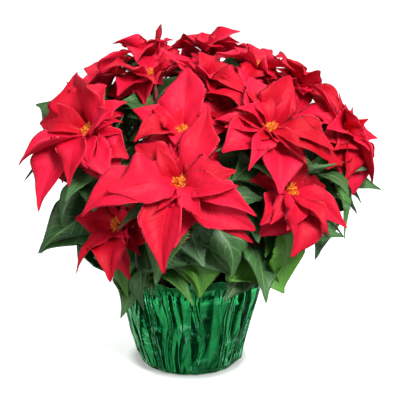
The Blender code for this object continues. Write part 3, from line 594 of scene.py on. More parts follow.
BLOOMS = (
    Bloom("front", "right", (-9, -125, 255), 13, 84, (
        (-103, 98, 38, 50), (-34, 94, 22, 50), (-163, 112, 6, 42), (-173, 78, 30, 46),
        (-22, 88, 34, 26), (72, 96, -14, 34), (38, 62, -8, 46), (-12, 72, 40, 30),
        (140, 66, -20, 38), (-138, 46, 44, 24), (-108, 44, 48, 17), (8, 46, 22, 28))),
    Bloom("left", "left", (-109, -75, 299), 14, 82, (
        (-124, 104, 14, 34), (-154, 86, 8, 38), (102, 70, -20, 50), (-176, 68, 10, 36),
        (-62, 62, 40, 36), (150, 72, -8, 34), (72, 60, -14, 44), (-35, 52, 34, 38),
        (-109, 64, 44, 30), (125, 56, -2, 28), (41, 56, 4, 24), (172, 56, 22, 20),
        (19, 40, 12, 20))),
    Bloom("centre", "left", (-6, -75, 298), 11, 70, (
        (85, 76, -22, 40), (153, 62, -6, 38), (-139, 60, 30, 40), (20, 56, -20, 34),
        (-165, 60, 22, 26), (131, 44, 8, 30), (55, 44, 6, 20), (-60, 40, 40, 22))),
    Bloom("right", "right", (86, -85, 304), 14, 84, (
        (-26, 90, 16, 36), (-84, 70, 40, 40), (148, 84, -18, 30), (68, 66, -22, 34),
        (-19, 74, 30, 32), (-152, 58, 30, 40), (92, 66, -12, 42), (0, 60, 12, 28),
        (-117, 52, 50, 20), (122, 54, -4, 18), (34, 44, 2, 22), (-52, 24, 34, 18))),
    Bloom("far_right", "right", (176, -12, 281), 12, 80, (
        (130, 78, 8, 28), (-62, 66, 16, 40), (-40, 44, -2, 40), (-76, 66, 36, 30),
        (103, 44, 10, 16), (94, 36, -12, 14), (30, 26, 14, 24), (-128, 34, 34, 22),
        (60, 30, -40, 18))),
    Bloom("upper_right", "right", (77, 0, 352), 10, 66, (
        (158, 52, 14, 36), (-6, 42, 20, 28), (84, 26, -40, 26), (38, 32, -30, 24),
        (-131, 36, 36, 26))),
    Bloom("lower_right", "right", (108, -100, 240), 11, 74, (
        (-90, 72, 26, 48), (-35, 74, 10, 30), (-134, 50, 30, 34), (-57, 58, 4, 34),
        (-4, 56, 20, 34), (-50, 60, 30, 22), (-79, 42, 44, 26), (160, 36, 14, 22))),
    Bloom("top", "left", (17, -20, 346), 9, 60, (
        (-150, 50, 36, 30), (-25, 52, 34, 28))),
    Bloom("upper_left", "left", (-42, -5, 345), 10, 66, (
        (178, 56, 28, 46), (-145, 46, 44, 34), (35, 34, 10, 28))),
    Bloom("left_back", "left", (-97, 10, 334), 9, 64, (
        (120, 40, -30, 24), (150, 34, 8, 26))),
    Bloom("crown_left", "back", (-44, 50, 360), 9, 62, (
        (170, 46, 20, 34), (60, 26, -30, 24))),
    Bloom("crown_right", "back", (20, 58, 360), 10, 64, (
        (138, 30, 10, 24), (21, 42, 12, 28), (55, 24, -20, 16))),
    Bloom("right_back", "back", (128, 40, 322), 10, 66, (
        (130, 30, -30, 24), (34, 22, 16, 20))),
    Bloom("lower_left", "left", (-76, -95, 199), 9, 70, (
        (-130, 70, 20, 22), (-97, 62, 34, 32), (-77, 62, 20, 34), (174, 58, 20, 34))),
    Bloom("back_left", "left", (-112, 85, 262), 11, 74),
    Bloom("back", "back", (-6, 125, 282), 12, 78),
    Bloom("back_right", "right", (103, 103, 268), 12, 76),
    Bloom("low_back_left", "back", (-66, 112, 196), 10, 70),
    Bloom("low_back_right", "back", (62, 114, 200), 10, 70),
)

# Leaves that show in the usual view: where the tip is in mm, and the full width in mm
SHOWN_LEAVES = (
    ((-188, -30, 229), 40), ((-172, -60, 152), 46), ((-129, -72, 166), 32), ((-104, -92, 218), 46),
    ((-79, -102, 187), 30), ((-70, -108, 116), 44), ((-39, -117, 122), 52), ((5, -120, 111), 30),
    ((14, -114, 121), 26), ((48, -121, 145), 52), ((84, -112, 166), 44), ((103, -104, 119), 50),
    ((122, -112, 234), 34), ((142, -62, 144), 36), ((130, -76, 150), 40), ((182, -40, 158), 34),
    ((180, -52, 205), 36), ((216, -10, 204), 34), ((192, -62, 246), 30), ((81, 50, 376), 30),
    ((-39, 70, 380), 26), ((-22, 20, 371), 26), ((-45, -4, 352), 24), ((-74, -42, 331), 26),
    ((1, -42, 362), 34), ((60, -60, 330), 30), ((-20, -100, 210), 44), ((30, -112, 190), 44),
)

# Bracts that only the fine pieces have, by their bloom: clock angle in the usual view, reach across
# it and how far the tip comes towards the eye, and full width, in degrees and mm
MORE_BRACTS = {
    "left_back": ((118, 41, -10, 26), (155, 46, 20, 24)),
    "left": ((93, 78, -26, 24), (-140, 70, 34, 22), (-82, 40, 40, 14), (15, 30, 30, 12)),
    "upper_left": ((155, 58, 30, 42), (-100, 36, 40, 22), (60, 34, 10, 20)),
    "top": ((104, 33, 24, 15), (70, 30, 20, 13), (128, 36, 12, 16), (133, 56, 6, 30),
            (-165, 40, 36, 16), (-10, 38, 30, 16)),
    "crown_left": ((56, 27, -4, 18), (36, 46, -8, 26), (150, 40, 0, 24), (-60, 30, 30, 22),
                   (-7, 48, 14, 28)),
    "crown_right": ((-27, 38, 16, 30), (176, 30, -4, 26), (32, 37, -8, 18), (8, 57, 14, 32),
                    (138, 36, -6, 34), (-120, 30, 30, 22)),
    "upper_right": ((41, 30, 4, 16), (5, 30, 18, 18), (-140, 30, 34, 26), (100, 26, 0, 16)),
    "right_back": ((139, 36, 0, 24), (36, 22, 10, 14), (124, 29, 0, 16), (-100, 34, 30, 20),
                   (-52, 66, 26, 28)),
    "front": ((-51, 61, 42, 24), (-12, 48, 42, 14), (-108, 45, 54, 14), (120, 56, 8, 20),
              (13, 54, 34, 32), (160, 62, 14, 26), (-84, 88, 30, 30), (-38, 100, 12, 24)),
    "centre": ((-110, 40, 40, 16), (5, 52, 10, 22), (170, 30, 24, 12), (-20, 32, 36, 14)),
    "right": ((-60, 60, 40, 18), (170, 62, 6, 20), (60, 50, 10, 16), (-140, 34, 36, 12),
              (-8, 36, 30, 12)),
    "far_right": ((98, 47, 10, 10), (87, 38, 16, 11), (72, 32, 22, 12), (28, 28, 26, 18),
                  (-47, 37, 34, 18), (-66, 70, 26, 38), (-165, 32, 34, 26), (120, 40, 12, 18)),
    "lower_right": ((-115, 40, 44, 16), (-20, 38, 34, 14), (90, 30, 10, 14)),
    "lower_left": ((-160, 40, 34, 16), (-60, 40, 34, 14)),
}
# Leaves that only the fine pieces have: the bloom on whose branch one stands, its root's share of
# that branch, its tip in mm and its full width in mm
MORE_LEAVES = (
    ("front", 0.55, (6, -118, 111), 54), ("lower_left", 0.5, (-41, -118, 125), 38),
    ("front", 0.6, (48, -116, 146), 42), ("lower_right", 0.5, (102, -108, 121), 50),
    ("left", 0.6, (-171, -60, 151), 48), ("left", 0.8, (-105, -100, 215), 52),
    ("lower_left", 0.5, (-70, -112, 119), 42), ("front", 0.85, (-77, -134, 198), 18),
    ("centre", 0.8, (-76, -90, 263), 26), ("top", 0.9, (-36, -62, 329), 28),
    ("upper_left", 0.9, (-73, -45, 333), 22), ("crown_left", 0.9, (-83, 25, 371), 18),
    ("crown_left", 0.95, (-38, 50, 388), 17), ("crown_left", 0.95, (-25, 30, 384), 20),
    ("upper_right", 0.98, (20, -8, 370), 30), ("upper_right", 0.95, (80, 20, 384), 19),
    ("right_back", 0.95, (106, 15, 346), 18), ("right_back", 0.95, (134, 30, 342), 15),
    ("left_back", 0.7, (-86, -50, 281), 30), ("top", 0.85, (-10, 20, 374), 22),
    ("left_back", 0.9, (-70, 15, 359), 20), ("left_back", 0.8, (-92, 5, 327), 24),
    ("far_right", 0.6, (143, -45, 256), 26), ("far_right", 0.7, (201, -40, 243), 28),
    ("right", 0.75, (127, -104, 219), 26), ("far_right", 0.6, (184, -50, 205), 26),
    ("far_right", 0.8, (220, -20, 212), 20), ("lower_right", 0.8, (80, -110, 203), 22),
    ("front", 0.8, (56, -105, 235), 34), ("right", 0.7, (40, -100, 262), 36),
    ("lower_right", 0.7, (184, -45, 197), 34), ("lower_right", 0.6, (179, -70, 173), 26),
    ("right_back", 0.8, (100, 50, 355), 28), ("left_back", 0.9, (-103, -20, 329), 30),
    ("upper_right", 0.9, (37, 70, 358), 44), ("crown_left", 0.9, (-9, 80, 370), 42),
    ("left_back", 0.6, (-89, -30, 301), 28), ("upper_right", 0.85, (114, 40, 342), 28),
    ("right", 0.8, (140, -60, 251), 28),
)


@dataclass
class Plant:
    """One plant: a woody stem in the soil, branches that end in blooms, and leaves on them."""
    name: str
    foot_mm: tuple[float, float]
    blooms: list[Bloom] = field(default_factory=list)
    leaves: list[Blade] = field(default_factory=list)
    small_leaves: list[Blade] = field(default_factory=list)

    def trunk_line(self) -> tuple[np.ndarray, list[float]]:
        """Points and radii of the woody stem, from its hole in the soil to its blunt top."""
        x, y = self.foot_mm
        heights = (STEM_FOOT, SOIL_LEVEL + SOIL_EDGE, STEM_TOP - STEM_SHOULDER, STEM_TOP)
        points = np.array([(x * MM, y * MM, height) for height in heights])
        return points, [share * STEM_RADIUS for share in (0.96, 0.96, 0.8, 0.45)]

    def branch_guides(self, bloom: Bloom) -> tuple[Vec, Vec, Vec, Vec]:
        """The two ends and the two guide points of the branch that carries a bloom."""
        order = self.blooms.index(bloom) / max(1, len(self.blooms) - 1)
        foot_x, foot_y = self.foot_mm
        start = np.array((foot_x, foot_y, 0.0)) * MM
        start[2] = STEM_TOP - (FORK_DEPTH[0] + order * (FORK_DEPTH[1] - FORK_DEPTH[0]))
        centre, axis = bloom.centre, bloom.axis
        end = centre - axis * (HUB_HEIGHT + GAP)
        outward = end - start
        span = size_of(outward)
        outward[2] = 0.0
        leave = start + LEAVE_OUT * outward + LEAVE_UP * span * VERTICAL
        arrive = end - ARRIVE_BACK * span * unit(axis + ARRIVE_STEEP * VERTICAL)
        return start, leave, arrive, end

    def branch_line(self, bloom: Bloom, steps: int = BRANCH_STEPS) -> tuple[np.ndarray, np.ndarray]:
        """Points and radii of the branch that carries a bloom."""
        points = curve_points(*self.branch_guides(bloom), steps)
        return points, np.linspace(1.25, 1.0, steps + 1) * BRANCH_RADIUS

    def branch_point(self, bloom: Bloom, share: float) -> Vec:
        """A point on a bloom's branch, at a share of its length from the fork."""
        points, _ = self.branch_line(bloom)
        place = share * (len(points) - 1)
        low = int(place)
        return points[low] + (points[low + 1] - points[low]) * (place - low)

    def stem_solids(self) -> list[Solid]:
        """The woody stem and the branches as their solids have them."""
        solids = [tube(*self.trunk_line(), STEM_SIDES)]
        for bloom in self.blooms:
            points, radii = self.branch_line(bloom)
            solids.append(tube(points, radii, BRANCH_SIDES, bloom.axis))
        return solids


PLANTS = (Plant("left", (-30, -8)), Plant("right", (27, -18)), Plant("back", (2, 33)))

# Where leaves may stand on a branch, as shares of its length
LEAF_PLACES = (0.42, 0.5, 0.58, 0.66, 0.74, 0.82, 0.9)
USUAL_LEAF = 100 * MM
LEAVES_PER_BRANCH = 3
LEAVES_ON_CROWN = 2
CROWN_LEVEL = 315 * MM
# The spiral's highest leaf on a branch and the step down to the next, as shares of its length
HIGHEST_LEAF = 0.88
LEAF_STEP = 0.15
# How small blades are settled, those listed and those by rule: the places tried, the clearance,
# the most crossings with their own kind and how many of them count as none
BRACT_LIMITS = ((50, 0.0, 40, 12), (50, 0.0, 4, 0))
LEAF_LIMITS = ((60, 0.0, 80, 36), (60, 0.0, 12, 0))
# How far small bracts keep off the urns, and how far towards the eye a tip has its root on top
URN_MARGIN = 1.5 * MM
TOP_ROOT = 40 * MM


class Growth:
    """The whole plant: it finds the place of every bract and leaf, in the order of the solids."""

    def __init__(self, plants: tuple[Plant, ...], blooms: tuple[Bloom, ...]) -> None:
        """Gives each plant its blooms."""
        self.plants = plants
        self.blooms = blooms
        for plant in plants:
            plant.blooms = [bloom for bloom in blooms if bloom.plant == plant.name]
        self.owner = {bloom.name: plant for plant in plants for bloom in plant.blooms}
        self.crowd = Crowd()
        self.holder: list[Solid] = []

    def grow(self, holder: list[Solid]) -> None:
        """Places every bract, bloom by bloom, and then the leaves, plant by plant.

        Args:
            holder: The solids of the foil, the pot and the soil, which everything keeps clear of.
        """
        stems = {plant.name: plant.stem_solids() for plant in self.plants}
        self.holder = holder
        self.crowd.add(holder)
        for bloom in self.blooms:
            self.crowd.add([bloom.cushion(), *(urn.solid() for urn in bloom.cyathia())])
        for bloom in self.blooms:
            around = self.crowd.joined_by(solid for solids in stems.values() for solid in solids)
            around.add(other.hub() for other in self.blooms if other is not bloom)
            bloom.settle(around.tree())
            self.crowd.add(blade.solid() for blade in bloom.bracts)
        self.crowd.add(bloom.hub() for bloom in self.blooms)
        rng = random.Random("leaves")
        wanted = self.shown_leaves(rng) + self.spiral_leaves(rng)
        for plant in self.plants:
            others = self.crowd.joined_by(solid for name, solids in stems.items()
                                          if name != plant.name for solid in solids)
            plant.leaves = settled_blades([blade for owner, blade in wanted if owner is plant],
                                          None, others.tree(), Crowd(), rng)
            self.crowd.add(blade.solid() for blade in plant.leaves)

    def thicken(self, bracts: int = 11, leaves: int = 12) -> None:
        """Adds smaller bracts and leaves that only the fine pieces have, where there is room.

        Bracts stand between and under those of the solid. Leaves leave the branch close below its
        bloom. Those listed come first and may cross others a little. One that finds no clear place
        is left out.

        Args:
            bracts: How many bracts each bloom tries.
            leaves: How many leaves each branch tries.
        """
        for bloom in self.blooms:
            rng = random.Random("small " + bloom.name)
            self.add_bracts(bloom, bracts, rng)
            self.add_leaves(bloom, leaves, rng)

    def rosettes(self, without: Optional[Bloom] = None) -> list[Solid]:
        """Hub, cushion and all bracts of every bloom but one."""
        return [solid for bloom in self.blooms if bloom is not without
                for solid in (bloom.hub(), bloom.cushion(),
                              *(blade.solid() for blade in bloom.bracts),
                              *(blade.solid() for blade in bloom.small_bracts))]

    def foliage(self, start: float = 0.0) -> list[Solid]:
        """All leaves of every plant, without a share of their stalks."""
        return [blade.solid(start=start) for plant in self.plants
                for blade in (*plant.leaves, *plant.small_leaves)]

    def add_bracts(self, bloom: Bloom, count: int, rng: random.Random) -> None:
        """Adds a bloom's small bracts, those listed first.

        Args:
            bloom: The bloom.
            count: How many it tries by rule.
            rng: Its draws.
        """
        own, around = Crowd(), Crowd()
        own.add(blade.solid(start=ROOT_SHARE) for blade in bloom.bracts)
        around.add(self.rosettes(without=bloom))
        around.add(solid for plant in self.plants for solid in plant.stem_solids())
        around.add(self.foliage())
        around.add(self.holder)
        around.add(replace(urn, radius=urn.radius + URN_MARGIN).solid() for urn in bloom.cyathia())
        placed = []
        for blade in bloom.placed(rng, MORE_BRACTS.get(bloom.name, ())):
            level = min(1.0, max(0.0, (blade.tip - bloom.centre) @ TOWARDS / TOP_ROOT))
            placed.append(replace(blade, up=unit(bloom.axis + TOWARDS),
                                  root=bloom.bract_root(blade.tip, level)))
        ruled = [self.small_bract(bloom, index / count, rng) for index in range(count)]
        tree = around.tree()
        for blades, limits in zip((placed, ruled), BRACT_LIMITS):
            bloom.small_bracts += settled_blades(blades, bloom.axis, tree, own, rng, *limits)

    def add_leaves(self, bloom: Bloom, count: int, rng: random.Random) -> None:
        """Adds small leaves to a bloom's branch, those listed first.

        Args:
            bloom: The bloom that the branch carries.
            count: How many the branch tries by rule.
            rng: Their draws.
        """
        plant = self.owner[bloom.name]
        own, around = Crowd(), Crowd()
        own.add(self.foliage(start=ROOT_SHARE))
        around.add(self.rosettes())
        around.add(self.holder)
        placed = [self.facing_leaf(plant, bloom, *place, rng)
                  for name, *place in MORE_LEAVES if name == bloom.name]
        ruled = [self.small_leaf(plant, bloom, index, rng) for index in range(count)]
        tree = around.tree()
        for blades, limits in zip((placed, ruled), LEAF_LIMITS):
            plant.small_leaves += settled_blades(blades, None, tree, own, rng, *limits)

    @staticmethod
    def small_bract(bloom: Bloom, level: float, rng: random.Random) -> Blade:
        """One more bract: low and hanging where the level is 0, high, short and steep at 1."""
        axis = bloom.axis
        angle = rng.uniform(0, 2 * math.pi)
        lift = math.radians(-34 + 66 * level + rng.uniform(-8, 8))
        long = bloom.reach * (0.9 - 0.5 * level) * rng.uniform(0.85, 1.1) * MM
        outward = outward_at(angle, square_pair(axis))
        tip = bloom.centre + outward_at(lift, (outward, axis)) * long
        return Blade(root=bloom.bract_root(tip, level), tip=tip, up=axis,
                     half_width=long * rng.uniform(0.24, 0.33), arch=rng.uniform(0.06, 0.2),
                     is_leaf=False, **blade_draws(rng, False, long))

    @staticmethod
    def facing_leaf(plant: Plant, bloom: Bloom, share: float, tip_mm: tuple, width: float,
                    rng: random.Random) -> Blade:
        """A listed leaf, whose upper face looks outwards to the front."""
        return Blade(root=plant.branch_point(bloom, share), tip=np.array(tip_mm, dtype=float) * MM,
                     up=unit(TOWARDS + 0.4 * VERTICAL), half_width=0.66 * width * MM,
                     arch=rng.uniform(0.10, 0.18), is_leaf=True, **blade_draws(rng, True, 0.1))

    @staticmethod
    def small_leaf(plant: Plant, bloom: Bloom, index: int, rng: random.Random) -> Blade:
        """One more leaf, close below a bloom: it spreads out sideways and hangs a little."""
        root = plant.branch_point(bloom, rng.uniform(0.45, 0.97))
        axis = bloom.axis
        outward = outward_at(index * GOLDEN_ANGLE + rng.uniform(-0.3, 0.3), square_pair(axis))
        heading = unit(outward + rng.uniform(-0.35, 0.45) * axis)
        long = rng.uniform(72, 105) * MM
        return Blade(root=root, tip=root + heading * long, up=axis,
                     half_width=long * rng.uniform(0.25, 0.32), arch=rng.uniform(0.05, 0.18),
                     is_leaf=True, **blade_draws(rng, True, long))

    def leaf_roots(self) -> list[tuple[Plant, Vec]]:
        """Places on every branch where a leaf can grow."""
        return [(plant, plant.branch_point(bloom, share)) for bloom in self.blooms
                for plant in (self.owner[bloom.name],) for share in LEAF_PLACES]

    @staticmethod
    def misfit(tip: Vec, root: Vec) -> float:
        """How far a root is from lying a leaf's length inwards from a tip."""
        inward = float((tip * tip)[:2].sum()) > float((root * root)[:2].sum())
        return abs(size_of(tip - root) - USUAL_LEAF) + (0.0 if inward else USUAL_LEAF / 2)

    def shown_leaves(self, rng: random.Random) -> list[tuple[Plant, Blade]]:
        """Listed leaves, before they are settled, each with its plant."""
        roots = self.leaf_roots()
        leaves = []
        for tip_mm, width in SHOWN_LEAVES:
            tip = np.array(tip_mm, dtype=float) * MM
            plant, root = min(roots, key=lambda place, tip=tip: self.misfit(tip, place[1]))
            outward = unit(np.array((tip[0], tip[1], 0.0)) + 1e-6)
            leaves.append((plant, Blade(
                root=root, tip=tip, up=unit(VERTICAL + 0.35 * outward),
                half_width=0.58 * width * MM, arch=0.12 + 0.08 * rng.random(), is_leaf=True,
                **blade_draws(rng, True, USUAL_LEAF))))
        return leaves

    def spiral_leaves(self, rng: random.Random) -> list[tuple[Plant, Blade]]:
        """Leaves that follow the spiral round each branch, hanging out below its bloom."""
        leaves = []
        for bloom in self.blooms:
            plant = self.owner[bloom.name]
            points, _ = plant.branch_line(bloom)
            centre = points[-1]
            turn = rng.uniform(0, 2 * math.pi)
            count = LEAVES_ON_CROWN if centre[2] > CROWN_LEVEL else LEAVES_PER_BRANCH
            for index in range(count):
                share = HIGHEST_LEAF - LEAF_STEP * index
                low = int(share * (len(points) - 1))
                ahead = unit(points[low + 1] - points[low])
                root = plant.branch_point(bloom, share)
                outward = outward_at(turn + index * GOLDEN_ANGLE, square_pair(ahead))
                away = unit(centre * np.array((1.0, 1.0, 0.0)) + 1e-6)
                heading = unit(outward + 0.75 * away + rng.uniform(-0.25, 0.25) * VERTICAL)
                long = rng.uniform(90, 122) * MM
                leaves.append((plant, Blade(
                    root=root, tip=root + heading * long, up=unit(VERTICAL + 0.35 * away),
                    half_width=long * rng.uniform(0.23, 0.28), arch=0.10 + 0.10 * rng.random(),
                    is_leaf=True, **blade_draws(rng, True, long))))
        return leaves


# Fine surfaces
@lru_cache
def loft_faces(sections: int, around: int) -> tuple[np.ndarray, np.ndarray]:
    """Corner numbers of a closed loft: quads between rings, and a fan at each end.

    Args:
        sections: How many rings there are.
        around: How many points a ring has.

    Returns:
        Quads and triangles. The two poles come after the rings' points.
    """
    ring, step = np.meshgrid(np.arange(sections - 1), np.arange(around), indexing="ij")
    here, after = ring * around + step, ring * around + (step + 1) % around
    quads = np.stack((here, after, after + around, here + around), axis=-1).reshape(-1, 4)
    k = np.arange(around)
    last = (sections - 1) * around
    start_fan = np.stack((np.full(around, sections * around), (k + 1) % around, k), axis=-1)
    end_fan = np.stack((np.full(around, sections * around + 1), last + k,
                        last + (k + 1) % around), axis=-1)
    return quads, np.vstack((start_fan, end_fan))


@dataclass
class Surface:
    """Points with their place on the piece and their growth, and the faces between them.

    uv holds how far along the piece a point lies and how far across it. growth holds the three
    values that a finish may read: tone, which side it is on and ripeness.
    """
    points: np.ndarray
    quads: np.ndarray
    fans: np.ndarray
    uv: np.ndarray
    growth: np.ndarray

    @classmethod
    def loft(cls, rings: np.ndarray, start: Vec, end: Vec, uv: np.ndarray,
             growth: np.ndarray) -> "Surface":
        """A closed surface through rings, with a pole at each end.

        Args:
            rings: Points, one row a ring.
            start: The first pole.
            end: The last pole.
            uv: Two values for each point of each ring.
            growth: Three values for each point of each ring, or three for all.

        Returns:
            The surface.
        """
        sections, around, _ = rings.shape
        quads, fans = loft_faces(sections, around)
        growth = np.broadcast_to(growth, (sections, around, 3)).reshape(-1, 3)
        uv = uv.reshape(-1, 2)
        poles_uv = np.array([(uv[end_row][0], 0.5) for end_row in (0, -1)])
        return cls(np.vstack((rings.reshape(-1, 3), start, end)), quads, fans,
                   np.vstack((uv, poles_uv)), np.vstack((growth, growth[0], growth[-1])))

    @classmethod
    def joined(cls, parts: Iterable["Surface"]) -> "Surface":
        """All parts as one surface."""
        parts = list(parts)
        starts = np.cumsum([0] + [len(part.points) for part in parts[:-1]])
        return cls(np.vstack([part.points for part in parts]),
                   np.vstack([part.quads + start for part, start in zip(parts, starts)]),
                   np.vstack([part.fans + start for part, start in zip(parts, starts)]),
                   np.vstack([part.uv for part in parts]),
                   np.vstack([part.growth for part in parts]))

    def piece(self, name: str, finish: bpy.types.Material, slot: str,
              nodes: Iterable[str]) -> bpy.types.Object:
        """Makes the mesh object, smooth all over, hangs it on the root body and hides the solids it
        replaces.

        Args:
            name: The piece's name.
            finish: Its material.
            slot: Not used.
            nodes: The solids that it replaces.

        Returns:
            The object.
        """
        mesh = bpy.data.meshes.new(name)
        corners = np.concatenate((self.quads.reshape(-1), self.fans.reshape(-1)))
        starts = np.concatenate((np.arange(len(self.quads)) * 4,
                                 4 * len(self.quads) + np.arange(len(self.fans)) * 3))
        mesh.vertices.add(len(self.points))
        mesh.vertices.foreach_set("co", self.points.astype(np.float32).reshape(-1))
        mesh.loops.add(len(corners))
        mesh.loops.foreach_set("vertex_index", corners.astype(np.int32))
        mesh.polygons.add(len(starts))
        mesh.polygons.foreach_set("loop_start", starts.astype(np.int32))
        layer = mesh.uv_layers.new(name="along_across")
        layer.data.foreach_set("uv", self.uv[corners].astype(np.float32).reshape(-1))
        growth = mesh.attributes.new("growth", "FLOAT_COLOR", "POINT")
        colours = np.pad(self.growth, ((0, 0), (0, 1)), constant_values=1.0)
        growth.data.foreach_set("color", colours.astype(np.float32).reshape(-1))
        mesh.update(calc_edges=True)
        mesh.validate()
        mesh.shade_smooth()
        made = bpy.data.objects.new(name, mesh)
        bpy.context.scene.collection.objects.link(made)
        mesh.materials.append(finish)
        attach(made, "root")
        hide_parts(*nodes)
        log.info("%s: %d faces", name, len(starts))
        return made


def along_tube(points: np.ndarray, radii: np.ndarray, around: int, growth: tuple) -> Surface:
    """A closed round tube: circles of the given radii, square to the line through the points."""
    tangents = units(np.gradient(points, axis=0))
    first = np.array([square_to(RIGHT, ahead) for ahead in tangents])
    second = np.cross(tangents, first)
    angles = np.linspace(0, 2 * np.pi, around, endpoint=False)
    rings = points[:, None] + radii[:, None, None] * (
        np.cos(angles)[None, :, None] * first[:, None]
        + np.sin(angles)[None, :, None] * second[:, None])
    along, across = np.meshgrid(np.linspace(0, 1, len(points)), angles / (2 * np.pi),
                                indexing="ij")
    return Surface.loft(rings, points[0], points[-1], np.stack((along, across), axis=-1),
                        np.array(growth))


VEIN_PAIRS = 9.0
VEIN_SLANT = 0.24
VEIN_SHIFT = 0.45
FINE_LEAF_WIDTH = (0.22, *LEAF_WIDTH[1:])
FINE_BRACT_WIDTH = (0.02, *BRACT_WIDTH[1:])
# |s| rounded off at the midrib: what its square gains, then what brings 0 back to 0 and 1 to 1
SOFT_GAIN, SOFT_SHIFT, SOFT_SCALE = 0.002, 0.0447, 0.9563


def vein_phase(t: np.ndarray, s: np.ndarray) -> np.ndarray:
    """Counts the side veins along a blade. They leave the midrib at a slant, by turns."""
    return VEIN_PAIRS * (t - VEIN_SLANT * np.abs(s)) + np.where(s < 0, 0.0, VEIN_SHIFT)


class Detail(NamedTuple):
    """How finely a blade is drawn: sections along it and points across each face."""
    sections: int
    columns: int


SHOWN_BRACT = Detail(34, 13)
SHOWN_SMALL_BRACT = Detail(25, 11)
PLAIN_BRACT = Detail(20, 9)
LARGE_LEAF = Detail(25, 11)
SMALL_LEAF = Detail(18, 9)


@dataclass(frozen=True)
class FineBlade:
    """The fine surface of one blade.

    A station t runs along the midrib from 0 to 1, and a share s across the blade from -1, its left
    edge, to 1. The midrib is the solid's, bent a little more up or down and aside. The half width
    is the solid's own width rule, drawn out over all stations, with an angular shoulder on either
    side and a tip that narrows to a point. The skin stands off the midrib by the fold and the curl
    of its side times a softened |s|, plus a camber that is 0 at midrib and edge, plus a ruffle
    that grows with the square of s, plus a bell-shaped furrow that runs aslant along one side,
    plus a rolled edge, plus a quilting between the side veins, which some sides have deeper near
    the midrib. Each face lies half a thickness off that, times the root of 1 - s squared, and the
    midrib stands out of the lower one.
    """
    blade: Blade
    detail: Detail
    seed: str
    ripeness: float = 0.0
    half_thickness: float = 0.24 * MM
    stalk_radius: float = 1.05 * MM
    ruffle: float = 0.12
    camber: float = 0.17
    quilt: float = 0.55 * MM
    crimp: float = 2.0
    furrow: float = 0.13
    furrow_width: float = 0.22
    rolled_edge: float = 0.16
    rib_height: float = 0.5 * MM
    rib_width: float = 0.09
    shoulder: float = 0.42
    shoulder_places: tuple = (0.36, 0.64)
    stalk_end: float = 0.27
    root_half_width: float = 1.5 * MM
    least_half_width: float = 0.06 * MM
    bend: float = 0.05
    more_fold: float = math.radians(11)

    def surface(self) -> Surface:
        """Builds the loft."""
        blade = self.blade
        rng = random.Random("fine " + self.seed)
        tone, _, first_wave, second_wave, *sides = (rng.uniform(-1, 1) for _ in range(6))
        shoulders = [(rng.uniform(*self.shoulder_places),
                      self.shoulder * max(0.0, rng.uniform(-0.4, 1))) for _ in range(2)]
        droop, hook, roll_edge, crimped, furrowed = (rng.uniform(-1, 1) for _ in range(5))
        columns = self.detail.columns
        s = np.concatenate((np.linspace(-1, 1, columns), np.linspace(1, -1, columns)[1:-1]))[None]
        face = np.concatenate((np.ones(columns), -np.ones(columns - 2)))
        face[[0, columns - 1]] = 0.0
        stations = np.linspace(0.0, 1.0, self.detail.sections + 2)[1:-1]
        middle, tangent, across, normal = blade.spine(stations)
        t = stations[:, None]
        middle = middle + blade.length * self.bend * (
            normal * (np.sin(2 * np.pi * t) * droop - 0.6 * t ** 3 * (1 + droop))
            + across * np.clip((t - 0.6) / 0.4, 0, 1) ** 2 * hook)
        right = s > 0
        reach = np.where(right, self.half_width(t, 1, *shoulders[1]),
                         self.half_width(t, 0, *shoulders[0]))
        curl = np.where(right, self.between_rings(t, blade.curls[1]),
                        self.between_rings(t, blade.curls[0]))
        side = np.where(right, sides[1], sides[0])
        a = np.abs(s)
        hump = 4 * a * (1 - a)
        soft = (np.sqrt(a * a + SOFT_GAIN) - SOFT_SHIFT) / SOFT_SCALE
        camber = self.camber * (0.6 * side + 0.7 * np.sin(2 * np.pi * (1.3 + 0.5 * side) * t
                                                          + 3 * side + 4 * first_wave))
        ruffle = self.ruffle * np.sin(2 * np.pi * (2.3 + 0.6 * side) * t + 5 * side
                                      + 3 * second_wave) * np.sin(np.pi * t)
        deeper = self.crimp * np.clip(crimped * np.sign(s), 0, 1) * np.sin(np.pi * t)
        quilt = self.quilt * (np.abs(np.sin(np.pi * vein_phase(t, s))) - 0.5) * (
            hump + deeper * 6.75 * a * (1 - a) ** 2)
        furrow = self.furrow * furrowed * np.sin(np.pi * t) * np.exp(
            -((s - 0.5 * math.copysign(1, hook) - 0.5 * droop * (t - 0.5))
              / self.furrow_width) ** 2)
        stalk = np.clip((self.stalk_end - t) / 0.08, 0, 1) if blade.is_leaf else 0.0 * t
        rolled = self.rolled_edge * roll_edge * np.sin(3 * t + 2 * side) * np.clip(
            (a - 0.55) / 0.45, 0, 1) ** 2
        lift = (reach * ((math.sin(blade.fold + self.more_fold) + curl) * soft
                         + hump * camber + a * a * ruffle + furrow + rolled)
                + quilt) * (1 - stalk)
        thick = self.half_thickness + (self.stalk_radius - self.half_thickness) * stalk
        rib = self.rib_height * np.exp(-(s / self.rib_width) ** 2) * (1 - t) * (face < 0)
        skin = face * (thick * np.sqrt(np.maximum(0, 1 - s * s)) + rib)
        wide = s * reach * (math.cos(blade.fold) * (1 - stalk) + stalk)
        rings = (middle[:, None] + across[:, None] * wide[..., None]
                 + normal[:, None] * (lift + skin)[..., None])
        uv = np.stack(np.broadcast_arrays(t, 0.5 + 0.5 * s), axis=-1)
        growth = np.stack(np.broadcast_arrays(0.5 + 0.5 * tone + 0 * t, 0.5 + 0.5 * face,
                                              self.ripeness), axis=-1)
        tip = middle[-1] + blade.length / (self.detail.sections + 1) * tangent[-1]
        return Surface.loft(rings, blade.root, tip, uv, growth)

